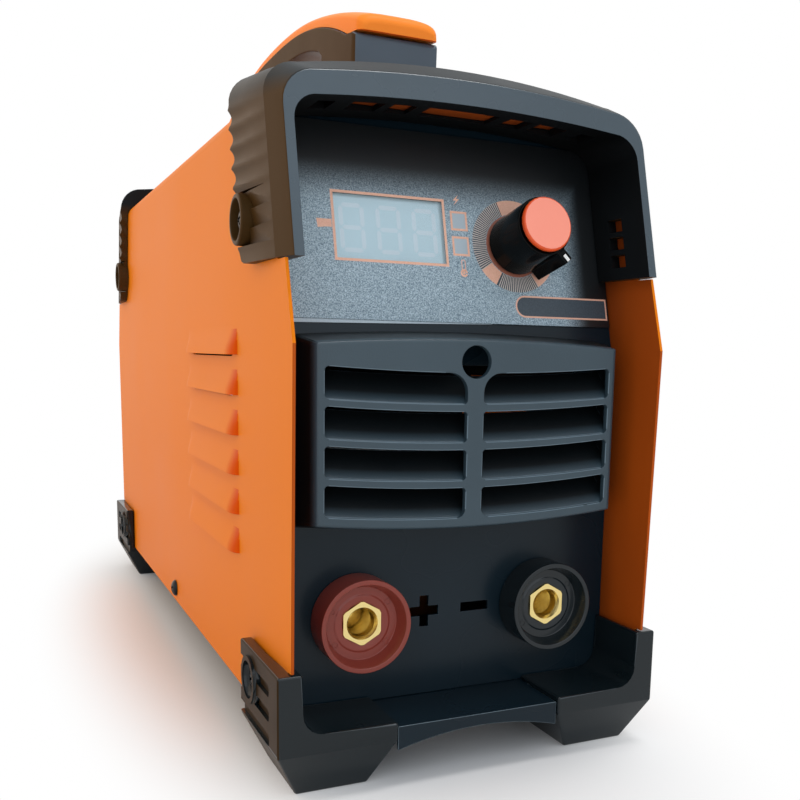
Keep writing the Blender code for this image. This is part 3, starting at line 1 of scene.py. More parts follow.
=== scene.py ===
"""Stick welding inverter, standing on a pale studio floor.

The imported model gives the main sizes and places. Each section below finishes or replaces a
group of its pieces, in the order in which the machine is put together.
"""
from math import atan, copysign, cos, pi, radians, sin, sqrt, tan, tau

import bmesh
import bpy
from mathutils import Matrix, Vector


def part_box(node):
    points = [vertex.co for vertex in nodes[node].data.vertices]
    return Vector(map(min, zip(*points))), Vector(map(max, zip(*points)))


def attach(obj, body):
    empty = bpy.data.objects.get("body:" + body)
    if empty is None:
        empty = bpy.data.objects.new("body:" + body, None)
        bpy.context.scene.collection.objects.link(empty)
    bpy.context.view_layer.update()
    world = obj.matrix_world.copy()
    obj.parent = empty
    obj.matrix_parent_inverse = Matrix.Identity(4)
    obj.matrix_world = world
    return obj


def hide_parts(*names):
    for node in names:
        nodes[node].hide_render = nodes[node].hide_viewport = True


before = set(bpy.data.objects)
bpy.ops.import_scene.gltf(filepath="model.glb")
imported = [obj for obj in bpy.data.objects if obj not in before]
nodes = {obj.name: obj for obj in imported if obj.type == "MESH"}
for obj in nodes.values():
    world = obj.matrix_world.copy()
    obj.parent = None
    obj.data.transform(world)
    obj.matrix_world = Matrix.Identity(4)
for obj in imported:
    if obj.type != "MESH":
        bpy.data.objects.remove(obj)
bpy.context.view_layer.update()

# ---- studio --------------------------------------------------------------------------------
# A pale paper floor that fades to white, three soft lamps, and a lens held close at half the
# machine's height, tipped down a little. The floor keeps the machine's contact shadow.
SHADOW_REACH = (0.075, 0.19)        # a little over half the machine's width and length
scene = bpy.context.scene
scene.view_settings.view_transform = "Standard"


def linear(code):
    """An sRGB hex colour as linear RGBA."""
    parts = [int(code[i:i + 2], 16) / 255 for i in (1, 3, 5)]
    return [p / 12.92 if p < 0.04045 else ((p + 0.055) / 1.055) ** 2.4 for p in parts] + [1.0]


def feed(fed, sources):
    """Link sockets of a node to sources, each a socket or a node with its first output."""
    for name, source in sources.items():
        fed.id_data.links.new(getattr(source, "outputs", (source,))[0], fed.inputs[name])
    return fed


def node(beside, kind, sources=None, **settings):
    """Add a shader node to a tree, or to the tree that holds the node or socket `beside`.
    Settings name its properties or its sockets."""
    made = beside.id_data.nodes.new("ShaderNode" + kind)
    for name, value in settings.items():
        if hasattr(made, name):
            setattr(made, name, value)
        else:
            made.inputs[name.replace("_", " ")].default_value = value
    return feed(made, sources or {})


def surface(name, colour, roughness, **sockets):
    """A material, its shader and the place on the piece in metres."""
    made = bpy.data.materials.new(name)
    made.use_nodes = True
    shader = made.node_tree.nodes["Principled BSDF"]
    shader.inputs["Base Color"].default_value = linear(colour)
    shader.inputs["Roughness"].default_value = roughness
    for socket, value in sockets.items():
        shader.inputs[socket.replace("_", " ")].default_value = value
    return made, shader, node(shader, "TexCoord").outputs["Object"]


def seen_rays(tree):
    """1 for rays from the lens and for rays in gloss or through glass."""
    rays = node(tree, "LightPath").outputs
    first = node(tree, "Math", {0: rays["Is Camera Ray"], 1: rays["Is Glossy Ray"]},
                 operation="MAXIMUM")
    return node(tree, "Math", {0: first, 1: rays["Is Transmission Ray"]}, operation="MAXIMUM")


def studio_camera():
    yaw, pitch, roll = radians(24.87), radians(8.75), radians(1.07)
    ahead = Vector((sin(yaw) * cos(pitch), cos(yaw) * cos(pitch),
                    -sin(pitch)))
    level = Vector((cos(yaw), -sin(yaw), 0))
    upright = level.cross(ahead)
    right = level * cos(roll) + upright * sin(roll)
    up = upright * cos(roll) - level * sin(roll)
    data = bpy.data.cameras.new("studio_camera")
    data.lens, data.sensor_width = 42.82, 36
    data.shift_x, data.shift_y = -0.0271, 0.1245
    data.clip_start, data.clip_end = 0.01, 50
    camera = bpy.data.objects.new("studio_camera", data)
    turn = Matrix((right, up, -ahead)).transposed().to_4x4()
    camera.matrix_world = Matrix.Translation((-0.14552, -0.44625, 0.13783)) @ turn
    scene.collection.objects.link(camera)
    scene.camera = camera


def studio_lamp(name, place, size, watts, tint):
    data = bpy.data.lights.new(name, "AREA")
    data.shape, data.size, data.energy = "SQUARE", size, watts
    data.color = linear(tint)[:3]
    lamp = bpy.data.objects.new(name, data)
    aim = Vector((0, 0, 0.12)) - Vector(place)
    turn = aim.to_track_quat("-Z", "Y").to_matrix().to_4x4()
    lamp.matrix_world = Matrix.Translation(place) @ turn
    lamp.visible_camera = False
    scene.collection.objects.link(lamp)


def studio_world():
    world = bpy.data.worlds.new("studio")
    world.use_nodes = True
    scene.world = world
    tree = world.node_tree
    background = tree.nodes["Background"]
    background.inputs["Color"].default_value = linear("#FFFFFF")
    strength = node(tree, "MapRange", {"Value": seen_rays(tree)}, To_Min=0.5, To_Max=1.0)
    feed(background, {"Strength": strength})


def studio_floor():
    sheet = bmesh.new()
    bmesh.ops.create_grid(sheet, x_segments=1, y_segments=1, size=6)
    mesh = bpy.data.meshes.new("floor")
    sheet.to_mesh(mesh)
    sheet.free()
    floor = bpy.data.objects.new("floor", mesh)
    scene.collection.objects.link(floor)
    paper, shader, place = surface("matt_paper", "#F4F4F4", 0.9, Specular_IOR_Level=0.1)
    share = node(place, "Mapping", {"Vector": place},
                 Scale=(1 / SHADOW_REACH[0], 1 / SHADOW_REACH[1], 1))
    reach = node(place, "VectorMath", {0: share}, operation="LENGTH").outputs["Value"]
    fade = node(place, "MapRange", {"Value": reach}, From_Min=0.92, From_Max=1.75,
                interpolation_type="SMOOTHSTEP")
    white = node(place, "Math", {0: fade, 1: seen_rays(paper.node_tree)}, operation="MULTIPLY")
    paled = node(place, "MixShader", {0: white, 1: shader, 2: node(place, "Emission")})
    feed(paper.node_tree.nodes["Material Output"], {"Surface": paled})
    mesh.materials.append(paper)


studio_camera()
studio_world()
studio_floor()
studio_lamp("left_lamp", (-1.5, 1.2, 0.9), 3.6, 31.0, "#FFD4A4")
studio_lamp("front_lamp", (-0.3, -1.9, 1.0), 3.0, 25.0, "#E2ECF8")
studio_lamp("top_lamp", (0.35, -0.15, 1.4), 0.5, 7.0, "#FFFFFF")


# ---- base pan, front and rear panels -------------------------------------------------------
# Folded sheets of 1.2 mm steel in satin black powder paint, with a blue cast that is partly the
# paint's own and partly a painted cool reflection. The pan carries everything; the two panels
# stand in it, and lean back above the grille to meet the cover.
PRESSED_EDGE = 0.0003       # radius that the press and the paint leave on a cut edge
WELD = 0.000002             # points nearer than this are one


def from_cad(name):
    """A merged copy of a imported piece, with its flat faces whole."""
    work = bmesh.new()
    work.from_mesh(nodes[name].data)
    bmesh.ops.remove_doubles(work, verts=work.verts, dist=WELD)
    bmesh.ops.dissolve_limit(work, angle_limit=radians(1), verts=work.verts,
                             edges=work.edges)
    return work


def sharp(work, degrees):
    """Its edges that turn more than an angle."""
    return [e for e in work.edges if e.calc_face_angle(0) > radians(degrees)]


def eased(work, radius, segments=2, chosen=None):
    """Round the chosen edges, or every corner sharper than 25 degrees."""
    if chosen is None:
        chosen = sharp(work, 25)
    bmesh.ops.bevel(work, geom=chosen, offset=radius, offset_type="OFFSET", affect="EDGES",
                    segments=segments, profile=0.5, material=-1, clamp_overlap=True)
    return work


def fitted(name, work, look, slot=None, stands_for=(), body="case", crease=35):
    """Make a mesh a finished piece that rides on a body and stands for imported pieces."""
    mesh = bpy.data.meshes.new(name)
    work.to_mesh(mesh)
    work.free()
    mesh.materials.append(look)
    mesh.shade_smooth()
    mesh.set_sharp_from_angle(angle=radians(crease))
    piece = bpy.data.objects.new(name, mesh)
    scene.collection.objects.link(piece)
    piece.modifiers.new("flat_faces_stay_flat", "WEIGHTED_NORMAL").keep_sharp = True
    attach(piece, body)
    if stands_for:
        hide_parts(*stands_for)
    return piece


def noise(place, scale, detail, **settings):
    return node(place, "TexNoise", {"Vector": place}, Scale=scale, Detail=detail,
                **settings).outputs["Fac"]


def mottled(shader, pattern, colour, shade):
    """Let a pattern mix two shades of the base colour."""
    tone = node(shader, "Mix", {"Factor": pattern}, data_type="RGBA")
    tone.inputs["A"].default_value = linear(colour)
    tone.inputs["B"].default_value = linear(shade)
    feed(shader, {"Base Color": tone.outputs["Result"]})


def uneven(shader, pattern, least, most):
    """Let a pattern vary the roughness."""
    gloss = node(shader, "MapRange", {"Value": pattern}, To_Min=least, To_Max=most)
    feed(shader, {"Roughness": gloss})


def embossed(shader, pattern, strength, depth):
    """Let a pattern stand out as relief."""
    bump = node(shader, "Bump", {"Height": pattern}, Strength=strength, Distance=depth)
    feed(shader, {"Normal": bump})


def powder_paint(name, colour, shade, roughness, sheen):
    """Powder-coated steel: baked polyester, whose flow leaves a shallow orange peel about
    1.5 mm across and slightly uneven gloss."""
    look, shader, place = surface(name, colour, roughness, Specular_IOR_Level=sheen)
    cloud = noise(place, 14.0, 3.0)
    mottled(shader, cloud, colour, shade)
    uneven(shader, cloud, roughness - 0.05, roughness + 0.07)
    embossed(shader, noise(place, 650.0, 2.0), 0.25, 0.00006)
    return look


def painted(piece, look, chosen):
    """Give the faces that are chosen one more look."""
    piece.data.materials.append(look)
    for face in piece.data.polygons:
        if chosen(face):
            face.material_index = len(piece.data.materials) - 1


def painted_edge_highlights(piece, look):
    """Painted highlights: the narrow faces of the rounded edges take a paler look, for the light
    that glints on them.
    """
    def narrow(face):
        points = [piece.data.vertices[i].co for i in face.vertices]
        longest = max((a - b).length for a, b in zip(points, points[1:] + points[:1]))
        return longest > 0.003 and face.area < longest * 0.0003

    painted(piece, look, narrow)


# The blue in this black is partly a painted reflection of cool light from the front.
black_paint = powder_paint("black_powder_paint", "#12242E", "#0B161D", 0.26, 0.2)
tray = fitted("base_tray", eased(from_cad("base_pan"), 0.0004), black_paint, "panel_paint",
              ["base_pan"])
sheet = fitted("front_sheet", eased(from_cad("front_panel"), PRESSED_EDGE), black_paint,
               "panel_paint", ["front_panel"])
# Painted highlight: a paler paint on the sheets' rounded edges, for the light they catch.
paint_edge_highlight = powder_paint("painted_highlight_paint_edge", "#56656E", "#46545C", 0.26, 0.4)
painted_edge_highlights(tray, paint_edge_highlight)
painted_edge_highlights(sheet, paint_edge_highlight)
fitted("rear_sheet", eased(from_cad("rear_panel"), PRESSED_EDGE), black_paint, "panel_paint",
       ["rear_panel"])


# ---- power electronics ---------------------------------------------------------------------
# Boards, heatsinks, transformer, choke, rectifier and capacitors stand on the pan's posts and
# show only through the louvres and the grille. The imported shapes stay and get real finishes.
def dress(look, *names):
    for name in names:
        for place in nodes[name].material_slots:
            place.material = look


def banded(pattern, first, second, start=0.0, end=1.0):
    """Run from one colour to another as a pattern passes from `start` to `end`."""
    ramp = node(pattern, "ValToRGB", {"Fac": pattern})
    for stop, spot, colour in zip(ramp.color_ramp.elements, (start, end), (first, second)):
        stop.position, stop.color = spot, linear(colour)
    return ramp


def glass_board():
    """FR4 laminate under green solder resist: tracks show as paler veins some 2 mm apart."""
    look, shader, place = surface("green_fr4_board", "#1F5A34", 0.35, Coat_Weight=0.3)
    tracks = node(place, "TexVoronoi", {"Vector": place}, Scale=420.0, distance="CHEBYCHEV",
                  feature="DISTANCE_TO_EDGE").outputs["Distance"]
    feed(shader, {"Base Color": banded(tracks, "#3F8A55", "#1F5A34", end=0.12)})
    embossed(shader, tracks, 0.2, 0.00004)
    return look


def drawn_metal(name, colour, roughness, stretch=(1, 1, 1), grain=2200.0):
    """Extruded, drawn or wound metal: fine die lines run along it, brighter and duller."""
    look, shader, place = surface(name, colour, roughness, Metallic=1.0)
    along = node(place, "Mapping", {"Vector": place}, Scale=stretch).outputs[0]
    lines = noise(along, grain, 2.0)
    uneven(shader, lines, roughness - 0.1, roughness + 0.15)
    embossed(shader, lines, 0.3, 0.00003)
    return look


def sintered_ferrite():
    """Ferrite and moulded epoxy: dull charcoal with a pressed 0.3 mm grain."""
    look, shader, place = surface("sintered_ferrite", "#2A2A2C", 0.6)
    embossed(shader, noise(place, 3200.0, 3.0), 0.4, 0.00003)
    return look


def printed_sleeve():
    """Heat-shrunk PVC: dark blue, with the pale stripe down the negative side."""
    look, shader, place = surface("shrink_sleeve", "#16224A", 0.3)
    bands = node(place, "TexWave", {"Vector": place}, Scale=33.0, bands_direction="X")
    stripe = banded(bands.outputs["Fac"], "#16224A", "#9AA3B4", end=0.93)
    stripe.color_ramp.interpolation = "CONSTANT"
    feed(shader, {"Base Color": stripe})
    return look


dress(glass_board(), "main_board", "control_board")
dress(drawn_metal("extruded_aluminium", "#C9CCD0", 0.38, (40, 1, 40)),
      "heatsink_left", "heatsink_right")
dress(drawn_metal("enamelled_copper", "#B56A3C", 0.3, (1, 1, 60), 900.0),
      "transformer_winding", "output_choke")
dress(sintered_ferrite(), "transformer_core", "bridge_rectifier")
dress(printed_sleeve(), "capacitor_left", "capacitor_right")
zinc = drawn_metal("zinc_plated_steel", "#C4C6C4", 0.32)
dress(zinc, "potentiometer", "pot_shaft")


# ---- output sockets ------------------------------------------------------------------------
# Two panel sockets for the electrode and the earth cable: a dished collar of glass-filled
# nylon, red-brown for plus and black for minus, round a machined brass hexagon with a keyed
# bore. A hexagon nut clamps each behind the panel.
SOCKET_RIM = 0.0016
DISH_RISE = 0.0010          # raised ring in the dish, round the brass
BRASS_FLATS = 0.0066        # from the brass hexagon's middle to its flats
OUTWARD = Matrix.Rotation(pi / 2, 4, "X")      # turns a shape drawn along Z to the front


def turned(profile, place, steps=64):
    """Spin a profile of (radius, height) about its axis and set it in its place."""
    work = bmesh.new()
    points = [work.verts.new((r, 0, h)) for r, h in profile]
    edges = [work.edges.new(pair) for pair in zip(points, points[1:])]
    bmesh.ops.spin(work, geom=points + edges, cent=(0, 0, 0), axis=(0, 0, 1),
                   angle=2 * pi, steps=steps, use_merge=True)
    bmesh.ops.remove_doubles(work, verts=work.verts, dist=0.000001)
    bmesh.ops.recalc_face_normals(work, faces=work.faces)
    bmesh.ops.transform(work, matrix=place, verts=work.verts)
    return work


def rod(radius, start, end, place, steps=64):
    return turned([(0, start), (radius, start), (radius, end), (0, end)], place, steps)


def tube(bore, radius, start, end, place, steps=64):
    return turned([(bore, start), (radius, start), (radius, end), (bore, end), (bore, start)],
                  place, steps)


def around(place, count):
    """A place turned evenly about its own axis."""
    return [place @ Matrix.Rotation(i * tau / count, 4, "Z") for i in range(count)]


def middle_of(name):
    low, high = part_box(name)
    return (low + high) / 2


def slab(points, start, end, place=Matrix.Identity(4), corners=None):
    """Extrude a flat outline from one height to another. `corners` rounds its points first:
    one radius for each, or 0 to keep a point sharp."""
    work = bmesh.new()
    rim = [work.verts.new((x, y, start)) for x, y in points]
    work.faces.new(rim)
    for point, radius in zip(rim, corners or ()):
        if radius:
            bmesh.ops.bevel(work, geom=[point], offset=radius, offset_type="OFFSET",
                            affect="VERTICES", segments=6, profile=0.5, material=-1)
    face = bmesh.ops.extrude_face_region(work, geom=work.faces[:])
    rise = [v for v in face["geom"] if isinstance(v, bmesh.types.BMVert)]
    bmesh.ops.translate(work, verts=rise, vec=(0, 0, end - start))
    bmesh.ops.recalc_face_normals(work, faces=work.faces)
    bmesh.ops.transform(work, matrix=place, verts=work.verts)
    return work


def carved(work, cutter, operation="DIFFERENCE"):
    """Take one closed shape out of another, or keep only what they share."""
    pair = []
    for shape in (work, cutter):
        mesh = bpy.data.meshes.new("carving")
        shape.to_mesh(mesh)
        shape.free()
        pair.append(bpy.data.objects.new("carving", mesh))
        scene.collection.objects.link(pair[-1])
    step = pair[0].modifiers.new("carve", "BOOLEAN")
    step.operation, step.solver, step.object = operation, "EXACT", pair[1]
    result = bmesh.new()
    result.from_object(pair[0], bpy.context.evaluated_depsgraph_get())
    for shape in pair:
        mesh = shape.data
        bpy.data.objects.remove(shape)
        bpy.data.meshes.remove(mesh)
    bmesh.ops.remove_doubles(result, verts=result.verts, dist=WELD)
    return result


def gathered(*shapes):
    """Several separate shapes as one mesh."""
    whole = bmesh.new()
    for shape in shapes:
        mesh = bpy.data.meshes.new("gathering")
        shape.to_mesh(mesh)
        shape.free()
        whole.from_mesh(mesh)
        bpy.data.meshes.remove(mesh)
    return whole


def moulded(name, colour, roughness, shade=None, grain=0.00045, depth=0.00002, clearcoat=0.0,
            sheen=0.4):
    """Injection-moulded plastic. `grain` is the spacing of the tool's spark-eroded texture."""
    look, shader, place = surface(name, colour, roughness, Coat_Weight=clearcoat,
                                  Coat_Roughness=0.12, Specular_IOR_Level=sheen)
    flow = noise(place, 30.0, 4.0, Roughness=0.6)
    mottled(shader, flow, colour, shade or colour)
    uneven(shader, flow, roughness - 0.06, roughness + 0.08)
    embossed(shader, noise(place, 1.0 / grain, 2.0), 0.35, depth)
    return look


def machined_brass(centre):
    """Free-cutting brass: warm yellow, with rings 0.3 mm apart left by the lathe tool."""
    look, shader, place = surface("machined_brass", "#E4CE8C", 0.22, Metallic=1.0)
    axis = node(place, "Mapping", {"Vector": place}, Location=[-c for c in centre])
    rings = node(place, "TexWave", {"Vector": axis}, Scale=520.0, wave_type="RINGS",
                 rings_direction="Y", Distortion=0.6)
    embossed(shader, rings.outputs["Fac"], 0.25, 0.00003)
    uneven(shader, noise(place, 260.0, 3.0), 0.14, 0.32)
    return look


def hexagon(flats):
    """A hexagon's corners, from the distance between its middle and its flats."""
    corner = flats / cos(pi / 6)
    return [(corner * sin(i * pi / 3), corner * cos(i * pi / 3))
            for i in range(6)]


def socket(end, nylon):
    low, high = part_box("socket_shell_" + end)
    centre, radius = middle_of("socket_shell_" + end), (high.x - low.x) / 2
    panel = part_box("front_panel")[0].y
    place = Matrix.Translation((centre.x, panel, centre.z)) @ OUTWARD
    stand, rear = panel - low.y, panel - high.y
    brass_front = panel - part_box("socket_contact_" + end)[0].y
    dish = stand - 0.0050
    neck, bore = 0.0105, 0.0067
    collar = turned([(radius, 0.0003), (radius, stand), (radius - SOCKET_RIM, stand),
                     (radius - 2 * SOCKET_RIM, dish), (0.0098, dish),
                     (0.0094, dish + DISH_RISE / 3), (0.0088, dish + DISH_RISE / 3),
                     (bore, dish), (bore, rear), (neck, rear), (neck, 0.0003),
                     (radius, 0.0003)], place)
    pins = []
    for angle in (35, 155, 215, 320):
        spot = Matrix.Rotation(radians(angle), 4, "Z") @ Matrix.Translation((0.0112, 0, dish))
        pins.append(turned([(0.0011, -0.0002), (0.0011, 0.00015), (0.0008, 0.00015),
                            (0.0007, -0.0002), (0.0011, -0.0002)], place @ spot, 16))
    fitted("socket_collar_" + end, gathered(eased(collar, 0.0003, 3), *pins), nylon,
           "socket_" + end, ["socket_shell_" + end])
    head = slab(hexagon(BRASS_FLATS), dish - 0.0034, brass_front, place)
    chamfer = turned([(0, dish - 0.004), (0.0090, dish - 0.004), (0.0080, brass_front - 0.0007),
                      (0.0072, brass_front + 0.0001), (0, brass_front + 0.0001)], place)
    head = carved(head, chamfer, "INTERSECT")
    stem = turned([(0, rear - 0.0138), (0.0040, rear - 0.0138), (0.0040, rear - 0.0040),
                   (0.0064, rear - 0.0040), (0.0064, dish - 0.0033), (0, dish - 0.0033)], place)
    grooves = [(radius, brass_front - 0.0045 - 0.0008 * i - lift) for i in reversed(range(12))
               for radius, lift in ((0.0049, 0.0004), (0.0046, 0.0))]
    bored = turned([(0, brass_front - 0.0198), (0.0046, brass_front - 0.0198)] + grooves
                   + [(0.0047, brass_front - 0.0012), (0.0056, brass_front + 0.0002),
                      (0, brass_front + 0.0002)], place)
    key = slab([(-0.0009, 0), (0.0009, 0), (0.0009, 0.0054), (-0.0009, 0.0054)],
               brass_front - 0.0050, brass_front + 0.0010, place)
    brass = carved(carved(carved(head, stem, "UNION"), bored), key)
    fitted("socket_brass_" + end, eased(brass, 0.0002), machined_brass(centre), "socket_brass",
           ["socket_contact_" + end])


red_nylon = moulded("red_brown_nylon", "#8C3C30", 0.3, "#783228", clearcoat=0.3, sheen=0.2)
black_nylon = moulded("black_nylon", "#12191D", 0.2, "#182024", clearcoat=0.3, sheen=0.2)
socket("positive", red_nylon)
socket("negative", black_nylon)
dress(black_nylon, "socket_nut_positive", "socket_nut_negative")


# ---- control panel -------------------------------------------------------------------------
# A polycarbonate film, grained on its face and printed from behind, is stuck to the leaning
# sheet. Its marks are a tagged window frame, two lamp frames between a flash and a
# thermometer, a dial and an empty rounded frame.
LEAN = atan(0.25)
FILM_START = 0.0103         # from the sheet's bend up the slope to the film's lower edge
FILM_FACE = 0.0008          # from the sheet out to the film's face
INK = 0.00004               # height of the ink, and of the grained film round it
FRAME_LINE = 0.0009
DIAL_OUTER = 0.0164
DIAL_INNER = 0.0113
DIAL_STEP = 2.9             # degrees from one fine mark to the next
DIAL_X, DIAL_UP = 0.0263, 0.0382
WINDOW_UP = 0.0412
LEGEND_X, LEGEND_UP = 0.0437, 0.0168
FULL_TURN = 359.9           # degrees, a hair short of a closed ring


def on_panel(x, up, out=0.0):
    """A place on the leaning sheet: X to the right, Y up the slope, Z outwards."""
    slope = Vector((0, sin(LEAN), cos(LEAN)))
    normal = Vector((0, -cos(LEAN), sin(LEAN)))
    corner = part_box("control_overlay")[0]
    edge = Vector((0, corner.y, corner.z + 0.0005 * sin(LEAN)))
    bend = edge - slope * FILM_START - normal * FILM_FACE
    turn = Matrix((Vector((1, 0, 0)), slope, normal)).transposed().to_4x4()
    return Matrix.Translation(bend + slope * up + normal * out + Vector((x, 0, 0))) @ turn


def rectangle(half_width, half_height):
    return [(-half_width, -half_height), (half_width, -half_height), (half_width, half_height),
            (-half_width, half_height)]


def ink(points, x=0.0, up=0.0, corners=None):
    return slab(points, 0, INK, on_panel(x, up, FILM_FACE), corners)


def ink_frame(half_width, half_height, x, up, line, corners=None):
    """A printed outline: an inner shape taken out of an outer one."""
    outer = ink(rectangle(half_width, half_height), x, up, corners)
    within = [max(0, c - line) for c in corners] if corners else None
    inner = slab(rectangle(half_width - line, half_height - line), -INK, 2 * INK,
                 on_panel(x, up, FILM_FACE), within)
    return carved(outer, inner)


def sector(inner, outer, start, end, steps):
    """A piece of a ring between two angles in degrees."""
    turns = [radians(start + (end - start) * i / steps) for i in range(steps + 1)]
    near = [(inner * cos(a), inner * sin(a)) for a in turns]
    return near + [(outer * cos(a), outer * sin(a)) for a in reversed(turns)]


def grained_film():
    """Velvet-grained polycarbonate, printed from behind: blue-grey flecks about 0.4 mm across. Its
    tone runs to black towards the upper and the right edge, a painted shadow of the hood over it."""
    look, shader, place = surface("grained_film", "#46535E", 0.4)
    fleck = noise(place, 2500.0, 1.5)
    tone = banded(fleck, "#5E7685", "#BCD0DA", 0.33, 0.70)
    spot = node(place, "SeparateXYZ", {"Vector": place}).outputs
    # Painted shadow: towards the upper and the right edge the film darkens to near black, where the
    # hood shades it.
    upper, right = (node(place, "MapRange", {"Value": spot[axis]}, From_Min=start, From_Max=end,
                         interpolation_type="SMOOTHSTEP")
                    for axis, start, end in (("Z", 0.183, 0.200), ("X", 0.043, 0.055)))
    dark = node(place, "Math", {0: upper, 1: right}, operation="MAXIMUM")
    fade = node(place, "Mix", {"Factor": dark}, data_type="RGBA")
    feed(fade, {"A": tone})
    fade.inputs["B"].default_value = linear("#0D1114")
    feed(shader, {"Base Color": fade.outputs["Result"]})
    embossed(shader, fleck, 0.5, 0.00006)
    return look


def screen_ink(name, colour, shade):
    """Screen-printed ink under the same grain, so its colour is flecked too."""
    look, shader, place = surface(name, colour, 0.5)
    mottled(shader, noise(place, 2100.0, 1.5), colour, shade)
    return look


fitted("panel_film", eased(from_cad("control_overlay"), 0.0001), grained_film(),
       "overlay_film", ["control_overlay"])
lamp_x, window_x = middle_of("power_lamp").x, middle_of("display_window").x
marks = [ink_frame(0.0204, 0.0117, window_x, WINDOW_UP, FRAME_LINE)]
marks += [ink_frame(0.0032, 0.0034, lamp_x, up, FRAME_LINE * 0.85) for up in (0.0369, 0.0457)]
marks.append(ink([(0, -0.0017), (0.0028, -0.0013), (0.0048, -0.0013), (0.0048, 0.0013),
                  (-0.0003, 0.0013)], -0.0456, 0.0416))
marks.append(ink([(-0.0010, -0.0019), (0.0013, 0.0004), (0.0002, 0.0005), (0.0010, 0.0019),
                  (-0.0011, -0.0001), (0.0001, -0.0002)], lamp_x - 0.0005, 0.0530))
marks.append(ink_frame(0.0008, 0.0021, lamp_x + 0.0004, 0.0302, 0.0003, [0, 0, 0.0007, 0.0007]))
marks.append(ink(sector(0.0007, 0.0014, 0, 340, 16), lamp_x + 0.0004, 0.0276))
marks.append(ink(sector(0, 0.0005, 0, 350, 10)[1:], lamp_x + 0.0004, 0.0276))
marks.append(ink_frame(0.0190, 0.0039, LEGEND_X, LEGEND_UP, 0.0006, [0.0038, 0, 0, 0.0038]))
wedges = [(70, 110), (214, 239), (301, 326)]
for start, end in wedges:
    marks.append(ink(sector(DIAL_INNER, DIAL_OUTER, start, end, 10), DIAL_X, DIAL_UP))
fitted("printed_marks", gathered(*marks), screen_ink("salmon_ink", "#FAC8AF", "#DFA58B"),
       "overlay_film")
strokes = []
for i in range(int(360 / DIAL_STEP)):
    turn = 110 + (i + 0.5) * DIAL_STEP
    if not any(start - 1 < turn % 360 < end + 1 for start, end in wedges):
        strokes.append(ink(sector(DIAL_INNER, DIAL_OUTER, turn, turn + DIAL_STEP * 0.45, 1),
                           DIAL_X, DIAL_UP))
fitted("dial_strokes", gathered(*strokes), screen_ink("pale_ink", "#E0D4CA", "#B4ADA8"),
       "overlay_film")
ground = slab(sector(DIAL_INNER, DIAL_OUTER, 0, FULL_TURN, 96), 0, INK / 2,
              on_panel(DIAL_X, DIAL_UP, FILM_FACE))
dark_ink = screen_ink("dark_ink", "#2C363E", "#46545F")
fitted("dial_ground", ground, dark_ink, "overlay_film")
legend = slab(rectangle(0.0187, 0.0036), 0, INK / 2, on_panel(LEGEND_X, LEGEND_UP, FILM_FACE),
              [0.0035, 0, 0, 0.0035])
fitted("legend_ground", legend, dark_ink, "overlay_film")
# Painted reflection: a pale wedge on the leaning sheet just below the film, for light it reflects.
reflection_strip = slab([(-0.0577, -0.0014), (-0.0200, -0.0008), (0.0150, -0.0001), (0.0150, 0),
               (-0.0577, 0)], 0.0002, 0.0004, on_panel(0, FILM_START))
fitted("painted_reflection_strip", reflection_strip, screen_ink("painted_sheet_reflection", "#C4D2DA", "#A9BAC4"), "overlay_film")
halo = ink(sector(0.0088, 0.0111, 0, FULL_TURN, 64), DIAL_X, DIAL_UP)
fitted("dial_halo", halo, screen_ink("rust_ink", "#B2705A", "#8F5543"), "overlay_film")


# ---- display and lamps ---------------------------------------------------------------------
# A three-digit display under a clear acrylic window. It is off, so its pale face and its
# still paler digits show. The two lamps are milky square light guides, unlit as well.
DIGIT_PITCH = 0.0130
DIGIT_HALF = 0.0037
DIGIT_HEIGHT = 0.0150
SEGMENT = 0.0015
WINDOW_SHEET = 0.0011
WINDOW_GAP = 0.0003         # in front of the window and behind it
DIFFUSER = 0.0002


def clear_acrylic():
    """Thin cast acrylic: clear, polished and slightly wavy. It bends light too little to show,
    so the view passes straight through and only the gloss of its face is added."""
    look, shader, place = surface("clear_acrylic", "#F0F5F7", 0.1)
    bump = node(place, "Bump", {"Height": noise(place, 160.0, 2.0)}, Strength=0.1,
                Distance=0.0001)
    clear = node(place, "BsdfTransparent", Color=linear("#F4F9FB"))
    gloss = node(place, "BsdfGlossy", {"Normal": bump}, Roughness=0.1)
    edge = node(place, "Fresnel", {"Normal": bump}, IOR=1.49)
    both = node(place, "MixShader", {0: edge, 1: clear, 2: gloss})
    feed(look.node_tree.nodes["Material Output"], {"Surface": both})
    look.node_tree.nodes.remove(shader)
    return look


def segments(x):
    """The seven bars of one digit, with mitred ends and a gap between them."""
    bars = []
    end = SEGMENT / 2
    for up in (-DIGIT_HEIGHT / 2, 0, DIGIT_HEIGHT / 2):
        half = DIGIT_HALF - SEGMENT * 0.2
        bar = [(-half, 0), (-half + end, -end), (half - end, -end), (half, 0),
               (half - end, end), (-half + end, end)]
        bars.append([(x + u, v + up) for u, v in bar])
    half = DIGIT_HEIGHT / 4 - SEGMENT * 0.2
    bar = [(0, -half), (end, -half + end), (end, half - end), (0, half), (-end, half - end),
           (-end, -half + end)]
    for side in (-DIGIT_HALF, DIGIT_HALF):
        for middle in (-DIGIT_HEIGHT / 4, DIGIT_HEIGHT / 4):
            bars.append([(x + side + u, middle + v) for u, v in bar])
    return bars


